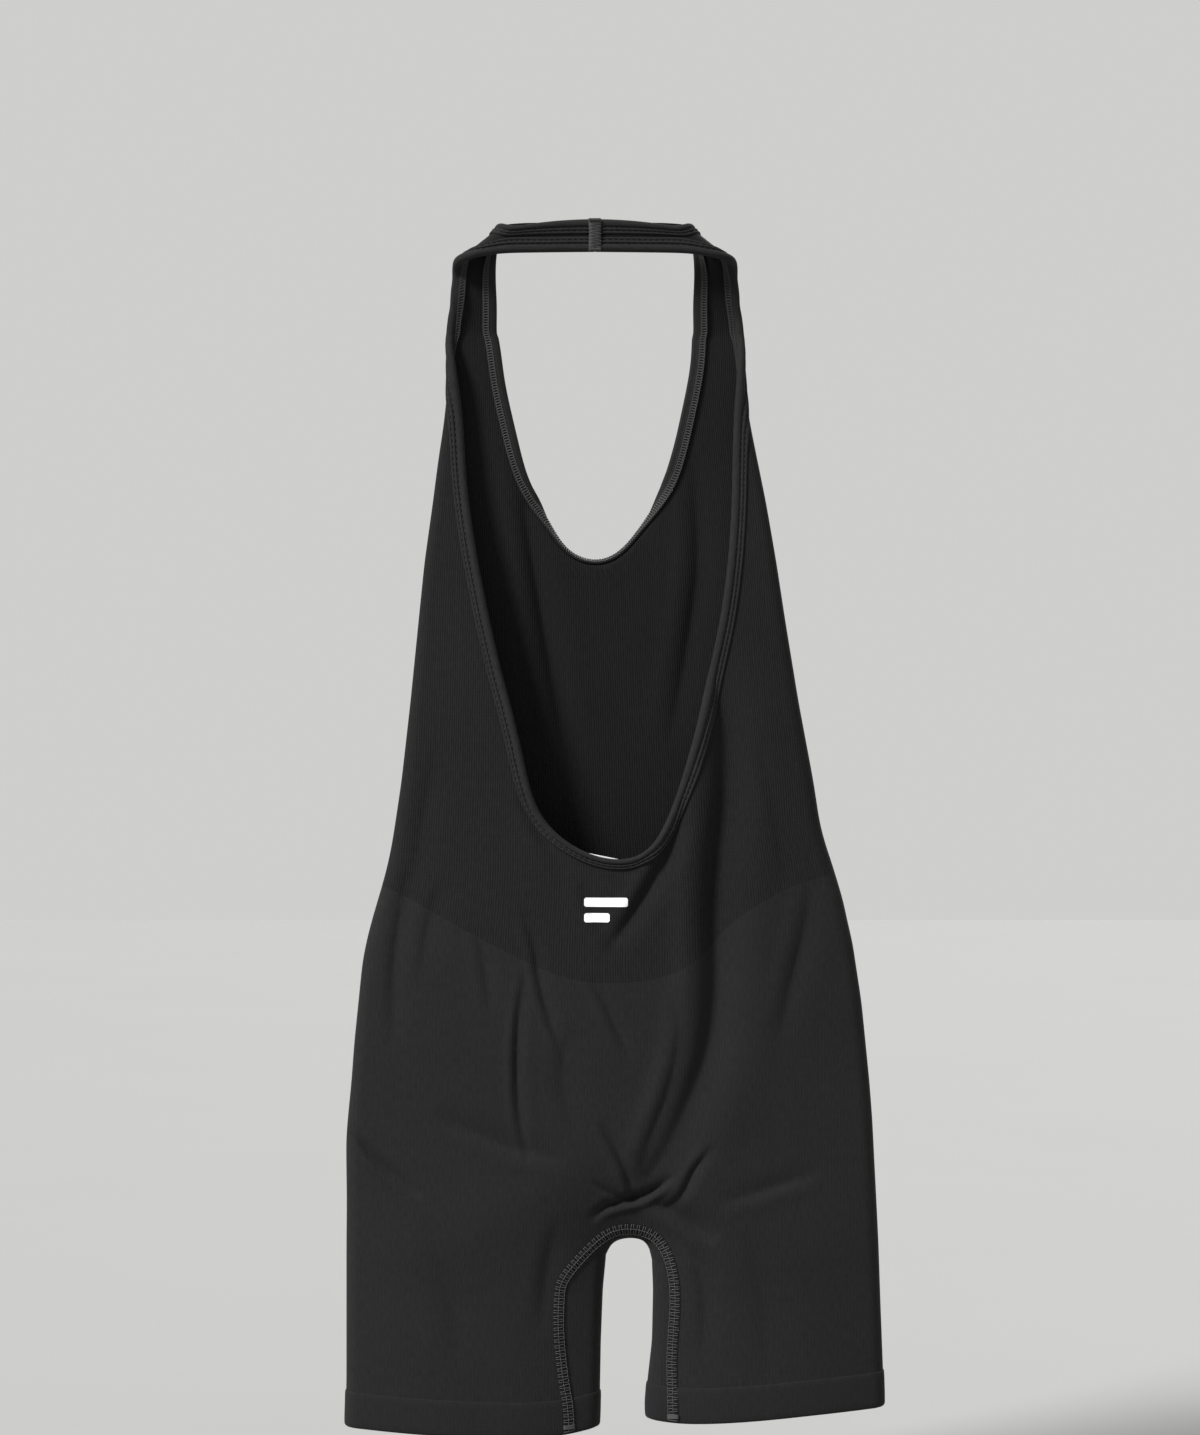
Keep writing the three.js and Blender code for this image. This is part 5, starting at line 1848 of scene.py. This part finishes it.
@dataclass
class Inseam:
    """The flat seam that joins the legs: up from the left hem, over the crotch, down to the right hem."""

    form: Form
    line: tuple[tuple[float, float], ...] = (
        (-14.5, -667.6), (-15.4, -652.4), (-18.1, -634.3), (-20.1, -611.8), (-19.7, -593.8),
        (-18.6, -585.6), (-14.5, -578.6), (-6.5, -569.5), (1.2, -562.2), (8.9, -557.2), (16.8, -555.4),
        (25.1, -556.2), (33.2, -559.5), (38.6, -565.9), (41.8, -573.9), (44, -584.8), (44.5, -598.3),
        (43.6, -611.8), (42.7, -629.8), (43.2, -647.8), (43.6, -662),
    )
    width: float = 5.6
    ladder: float = 1.6

    def __post_init__(self) -> None:
        """Lays out the seam's middle line on the back of the legs."""
        self.path = even_path(self.line, 0.75, 1.8)
        self.lengths = lengths_along(self.path)
        way = unit(np.gradient(self.path, axis=0))
        self.across = together(-way[:, 1], way[:, 0])

    def at(self, length: Array, across: Array, lift: Array | float) -> tuple[Array, Array]:
        """A place on the seam.

        Args:
            length: Length along it.
            across: Distance to the left of its middle.
            lift: Distance out from the cloth's middle.

        Returns:
            The points and the directions that the cloth faces there.
        """
        length, across, lift = np.broadcast_arrays(length, across, lift)
        x, z = (np.interp(length, self.lengths, self.path[:, k]) for k in (0, 1))
        ax, az = (np.interp(length, self.lengths, self.across[:, k]) for k in (0, 1))
        x, z = x + ax * across, z + az * across
        back = np.full(x.shape, -1.0)
        y = self.form.height(back, x, z)
        dx = (self.form.height(back, x + 0.5, z) - self.form.height(back, x - 0.5, z)) / 1.0
        dz = (self.form.height(back, x, z + 0.5) - self.form.height(back, x, z - 0.5)) / 1.0
        normal = unit(together(dx, -1.0, dz))
        thicker = 0.6 * softly(-646.0, -650.0, z)
        return together(x, y, z) + normal * (lift + thicker)[..., None], normal

    def build(self, wardrobe: Wardrobe) -> bpy.types.Object:
        """Builds the seam: a low ridge, a ladder of cross threads and two rows along it.

        Args:
            wardrobe: Where its finish comes from.

        Returns:
            The piece.
        """
        draft = Draft()
        total = self.lengths[-1]
        stops = np.linspace(0.0, total, int(total / 1.2))
        u = np.linspace(-1.0, 1.0, 9)
        ridge, _ = self.at(stops[:, None], u[None] * self.width / 2, 0.62 + 0.38 * (1 - u[None] ** 4))
        draft.add_grid(ridge, together(u[None] * 3, stops[:, None]), flip=True)
        draft.thicken(0.3)
        draft.tags[:] = 1
        rungs = np.arange(0.8, total - 0.8, self.ladder)
        t = np.linspace(-1.0, 1.0, 7)
        lean = np.where(np.arange(len(rungs)) % 2, 1.0, -1.0)[:, None] * 0.3
        lengths = np.clip(rungs[:, None] + lean * t[None], 0.1, total - 0.1)
        middles, ups = self.at(lengths, t[None] * self.width / 2, 1.28 - 0.3 * t[None] ** 6)
        add_threads(draft, middles, ups, 0.25)
        share = np.array([0.0, 0.2, 0.5, 0.8, 1.0])
        dip = np.array([-0.3, 0.12, 0.2, 0.12, -0.3])
        for across in (-0.92, 0.1):
            starts = np.arange(1.0, total - 3.2, 2.4)
            lengths = starts[:, None] + share[None] * 2.1
            row = np.full(lengths.shape, across * self.width / 2)
            middles, ups = self.at(lengths, row, 1.42 + dip[None] - 0.2 * abs(across))
            add_threads(draft, middles, ups, 0.22)
        nodes = ("inseam_flatlock",)
        return wardrobe.piece(draft, "inseam_flat_seam", GREY_THREAD, nodes, inside=SEAM_GROUND)

    def tack(self, wardrobe: Wardrobe, side: int) -> bpy.types.Object:
        """Builds the bar of close stitches where the seam ends at a hem.

        Args:
            wardrobe: Where its finish comes from.
            side: -1 for the left leg, 1 for the right.

        Returns:
            The piece.
        """
        draft = Draft()
        start = 3.2 if side < 0 else self.lengths[-1] - 3.2
        rows = start + np.linspace(-0.9, 0.9, 5)
        t = np.linspace(-1.0, 1.0, 9)
        lengths = np.broadcast_to(rows[:, None], (5, 9))
        across = np.broadcast_to(t[None] * (self.width / 2 + 0.3), lengths.shape)
        middles, ups = self.at(lengths, across, 1.75 - 0.35 * t[None] ** 4)
        add_threads(draft, middles, ups, 0.27)
        name = "left" if side < 0 else "right"
        return wardrobe.piece(draft, f"{name}_hem_tack", GREY_THREAD, (f"{name}_hem_bartack",))


@dataclass
class Gusset:
    """The cotton lining inside the crotch."""

    form: Form
    left: float = -5.0
    right: float = 39.0
    top: float = -531.0
    inset: float = 1.7
    half_length: float = 35.0

    def build(self, wardrobe: Wardrobe) -> bpy.types.Object:
        """Builds the lining as one sheet, from the front under the crotch to the back.

        Args:
            wardrobe: Where its finish comes from.

        Returns:
            The piece.
        """
        x = np.linspace(self.left, self.right, 23)
        v = np.linspace(-1.0, 1.0, 41)[:, None]
        floor = np.maximum(self.form.arch_height(np.clip(x, 9.0, 28.0)), -564.0) + 2.6
        outward = np.maximum(9.0 - x, x - 28.0).clip(0)
        floor = floor + 0.05 * outward**1.3
        bend = np.abs(v) ** 1.4
        z = floor[None] * (1 - bend) + self.top * bend
        face = np.where(v < 0, -1.0, 1.0) + 0 * z
        y = self.form.height(face, np.broadcast_to(x, z.shape), z)
        middle = self.form.middle(z)
        rise = np.maximum(np.abs(y - middle) - self.inset, 0.0) * softly(0.0, 0.3, np.abs(v))
        draft = Draft()
        draft.add_grid(together(x, middle + face * rise, z), together(x, v * self.half_length))
        draft.thicken(0.7)
        piece = wardrobe.piece(draft, "gusset_lining_knit", LINED, ("gusset_lining",))
        return piece


# Mark and label


@dataclass
class Mark:
    """Two plain bars of reflective film, pressed on under the back opening."""

    form: Form
    middle: float = 6.1
    top: float = -372.5
    bars: tuple[float, float] = (24.0, 14.0)
    height: float = 5.0
    pitch: float = 8.5
    corner: float = 0.8

    def bar(self, wardrobe: Wardrobe, index: int) -> bpy.types.Object:
        """Builds one bar on the cloth.

        Args:
            wardrobe: Where its finish comes from.
            index: 0 for the long bar, 1 for the short one.

        Returns:
            The piece.
        """
        width = self.bars[index]
        left = self.middle - max(self.bars) / 2
        u = np.linspace(0.0, 1.0, int(width / 0.8))
        v = np.linspace(0.0, 1.0, 9)[:, None]
        from_end = np.minimum(u, 1 - u) * width
        trim = self.corner * (1 - rounded(from_end / self.corner))
        z = self.top - index * self.pitch - trim - v * (self.height - 2 * trim)
        x = np.broadcast_to(left + u * width, z.shape)
        y = self.form.height(np.full(x.shape, -1.0), x, z) - 0.72
        draft = Draft()
        draft.add_grid(together(x, y, z), together(x, z), flip=True)
        draft.thicken(0.2)
        name = ("upper", "lower")[index]
        return wardrobe.piece(draft, f"mark_{name}_bar", FILM, (f"badge_{name}_bar",))

    def build(self, wardrobe: Wardrobe) -> list[bpy.types.Object]:
        """Builds both bars."""
        return [self.bar(wardrobe, index) for index in range(len(self.bars))]


@dataclass
class CareLabel:
    """A folded white ribbon sewn in under the back opening, with a flap that swings from its stitching."""

    middle: tuple[float, float, float] = (6.4, -10.62, -355.5)
    width: float = 26.0
    tab: float = 5.2
    drop: float = 18.15
    tilt: float = 0.2
    thickness: float = 0.32
    gap: float = 0.15

    def sheet(self, low: float, high: float, ripple: float) -> Draft:
        """A rectangle of ribbon in the label's own plane.

        Args:
            low: Its lower edge, from the stitching.
            high: Its upper edge.
            ripple: How far it waves through the garment.

        Returns:
            The piece in the making.
        """
        u = np.linspace(-1.0, 1.0, 27) * self.width / 2
        v = np.linspace(low, high, 15)[:, None]
        x0, y0, z0 = self.middle
        away = (v - (low if abs(low) < abs(high) else high)) / (high - low)
        wave = ripple * np.sin(u * 0.32 + 0.5) * np.abs(away)
        x = x0 + u * math.cos(self.tilt) + v * math.sin(self.tilt)
        z = z0 - u * math.sin(self.tilt) + v * math.cos(self.tilt)
        draft = Draft()
        draft.add_grid(together(x, y0 + wave, z), together(u, v))
        draft.thicken(self.thickness)
        return draft

    def build(self, wardrobe: Wardrobe) -> list[bpy.types.Object]:
        """Builds the sewn tab and the flap below it.

        Args:
            wardrobe: Where its finish comes from.

        Returns:
            The pieces.
        """
        tab = self.sheet(self.gap, self.tab, 0.1)
        flap = self.sheet(-self.drop, -self.gap, 0.22)
        sewn = wardrobe.piece(tab, "label_tab", WHITE_RIBBON, ("care_label_tab",))
        free = wardrobe.piece(flap, "label_flap", WHITE_RIBBON, ("care_label",), Body.CARE_LABEL)
        return [sewn, free]


# Camera, floor and light


@dataclass
class Studio:
    """A plain pale studio with soft light, seen straight on from the garment's back."""

    target: tuple[float, float, float] = (0.0028, 0.0, -0.2735)
    distance: float = 1.9
    seen_height: float = 0.795
    floor_z: float = -0.74
    pale: float = 0.62

    def camera(self) -> None:
        """Makes the camera."""
        data = bpy.data.cameras.new("camera")
        data.sensor_fit = "VERTICAL"
        data.sensor_height = 24.0
        data.lens = data.sensor_height / (self.seen_height / self.distance)
        camera = bpy.data.objects.new("camera", data)
        x, y, z = self.target
        camera.location = (x, y - self.distance, z)
        camera.rotation_euler = (math.pi / 2, 0.0, 0.0)
        bpy.context.scene.collection.objects.link(camera)
        bpy.context.scene.camera = camera

    def floor(self) -> None:
        """Makes the pale floor."""
        mesh = bpy.data.meshes.new("floor")
        half = 6.0
        corners = [(x * half, y * half, self.floor_z) for x, y in ((-1, -1), (1, -1), (1, 1), (-1, 1))]
        mesh.from_pydata(corners, [], [(0, 1, 2, 3)])
        sheet = NodeSheet("pale floor")
        tone = sheet.noise(sheet.solid_place(), 3.0, 3.0)
        colour = sheet.mix(tone, (0.285, 0.285, 0.282, 1.0), (0.295, 0.295, 0.292, 1.0))
        surface = Surface(0.85, 0.2, 0.0, 0.5, 0.05, (0.76, 0.76, 0.75))
        mesh.materials.append(sheet.dress(colour, tone, 0.2, surface))
        floor = bpy.data.objects.new("floor", mesh)
        bpy.context.scene.collection.objects.link(floor)

    def world(self) -> None:
        """Makes the pale surroundings."""
        world = bpy.data.worlds.new("studio")
        world.use_nodes = True
        background = world.node_tree.nodes["Background"]
        background.inputs["Color"].default_value = (self.pale, self.pale, self.pale * 0.99, 1.0)
        background.inputs["Strength"].default_value = 1.0
        bpy.context.scene.world = world

    def sun(self, name: str, azimuth: float, elevation: float, softness: float, power: float) -> None:
        """Makes a soft even light from one direction.

        Args:
            name: Its name.
            azimuth: Where it stands round the garment, in degrees from -Y towards +X.
            elevation: How high it stands, in degrees.
            softness: How wide it looks, in degrees.
            power: Its strength.
        """
        data = bpy.data.lights.new(name, "SUN")
        data.angle = math.radians(softness)
        data.energy = power
        lamp = bpy.data.objects.new(name, data)
        turn, rise = math.radians(azimuth), math.radians(elevation)
        away = Vector((math.sin(turn) * math.cos(rise), -math.cos(turn) * math.cos(rise), math.sin(rise)))
        lamp.location = away * 2.0
        lamp.rotation_euler = away.to_track_quat("Z", "Y").to_euler()
        bpy.context.scene.collection.objects.link(lamp)

    def build(self) -> None:
        """Sets up the whole studio."""
        bpy.context.scene.view_settings.view_transform = "Standard"
        self.camera()
        self.floor()
        self.world()
        self.sun("key", -50.0, 40.0, 14.0, 5.2)
        self.sun("rear", 160.0, 35.0, 40.0, 1.8)


NECKLINE = (
    (-54.5, -60), (-53.2, -66), (-52.1, -76.5), (-50.6, -87.5), (-48.2, -98.6), (-45.6, -109.7),
    (-43, -120.8), (-40.2, -131.9), (-36.6, -142.9), (-32, -154), (-26.6, -165.1), (-20, -176.2),
    (-11.6, -184.2), (0.6, -187.6), (11.1, -184.4), (19.4, -176.4), (27.7, -165.1), (33.6, -154),
    (37.9, -142.9), (41.6, -131.9), (44.7, -120.8), (47.3, -109.7), (49.6, -98.6), (52, -87.5),
    (53.8, -76.5), (54.5, -66), (54.5, -60),
)
BACK_OPENING = (
    (-80.9, -60), (-78.6, -69.2), (-76.3, -86.4), (-74.3, -100.8), (-73.4, -112.2), (-72.6, -126.9),
    (-71.1, -146.8), (-69.1, -162.9), (-67.1, -174.5), (-65.2, -186.7), (-62.2, -201.1), (-59.3, -216.1),
    (-55.8, -231), (-52, -247.6), (-47.3, -264.3), (-43.3, -280.3), (-39.6, -296.4), (-36.2, -312),
    (-31.2, -325.8), (-23.5, -335.7), (-13.8, -343.5), (-4, -348.7), (6.5, -351.6), (16.5, -352.3),
    (25, -350.2), (31.9, -344.6), (38.2, -334.1), (43.1, -322.4), (47.8, -308.6), (52, -294.7),
    (56, -280), (59.8, -264.3), (63.6, -247.6), (67.1, -231.6), (69.3, -221), (71.6, -206.1),
    (73.5, -191.4), (74.9, -176.7), (75.9, -161.8), (76.5, -146.8), (77, -126.9), (77.4, -109.1),
    (78, -98), (78.8, -86.4), (79.8, -72), (80.9, -60),
)


def main() -> None:
    """Builds every piece over the frame and sets up the studio."""
    logging.basicConfig(level=logging.INFO, format="%(message)s")
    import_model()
    wardrobe = Wardrobe()
    form = Form()
    top = np.array([Z_TOP])
    neck = float(form.flat_place(np.array([NECKLINE[0][0]]), top)[0])
    straps = (Strap(form, -1, neck), Strap(form, 1, neck))
    strips = {
        Edge.NECKLINE: EdgeStrip(Edge.NECKLINE, form, straps, NECKLINE, curl=math.radians(115)),
        Edge.BACK_OPENING: EdgeStrip(Edge.BACK_OPENING, form, straps, BACK_OPENING),
    }
    tube = Tube(form, straps, strips)
    BoundEdge(strips[Edge.BACK_OPENING], roll=0.3).build(wardrobe)
    BoundEdge(strips[Edge.NECKLINE]).build(wardrobe)
    tube.bodice(wardrobe)
    tube.shorts(wardrobe)
    for side in (-1, 1):
        Welt(tube, side).build(wardrobe)
    seam = Inseam(form)
    seam.build(wardrobe)
    for side in (-1, 1):
        seam.tack(wardrobe, side)
    NeckSeam().build(wardrobe)
    Gusset(form).build(wardrobe)
    Mark(form).build(wardrobe)
    CareLabel().build(wardrobe)
    Studio().build()


if __name__ == "__main__":
    main()
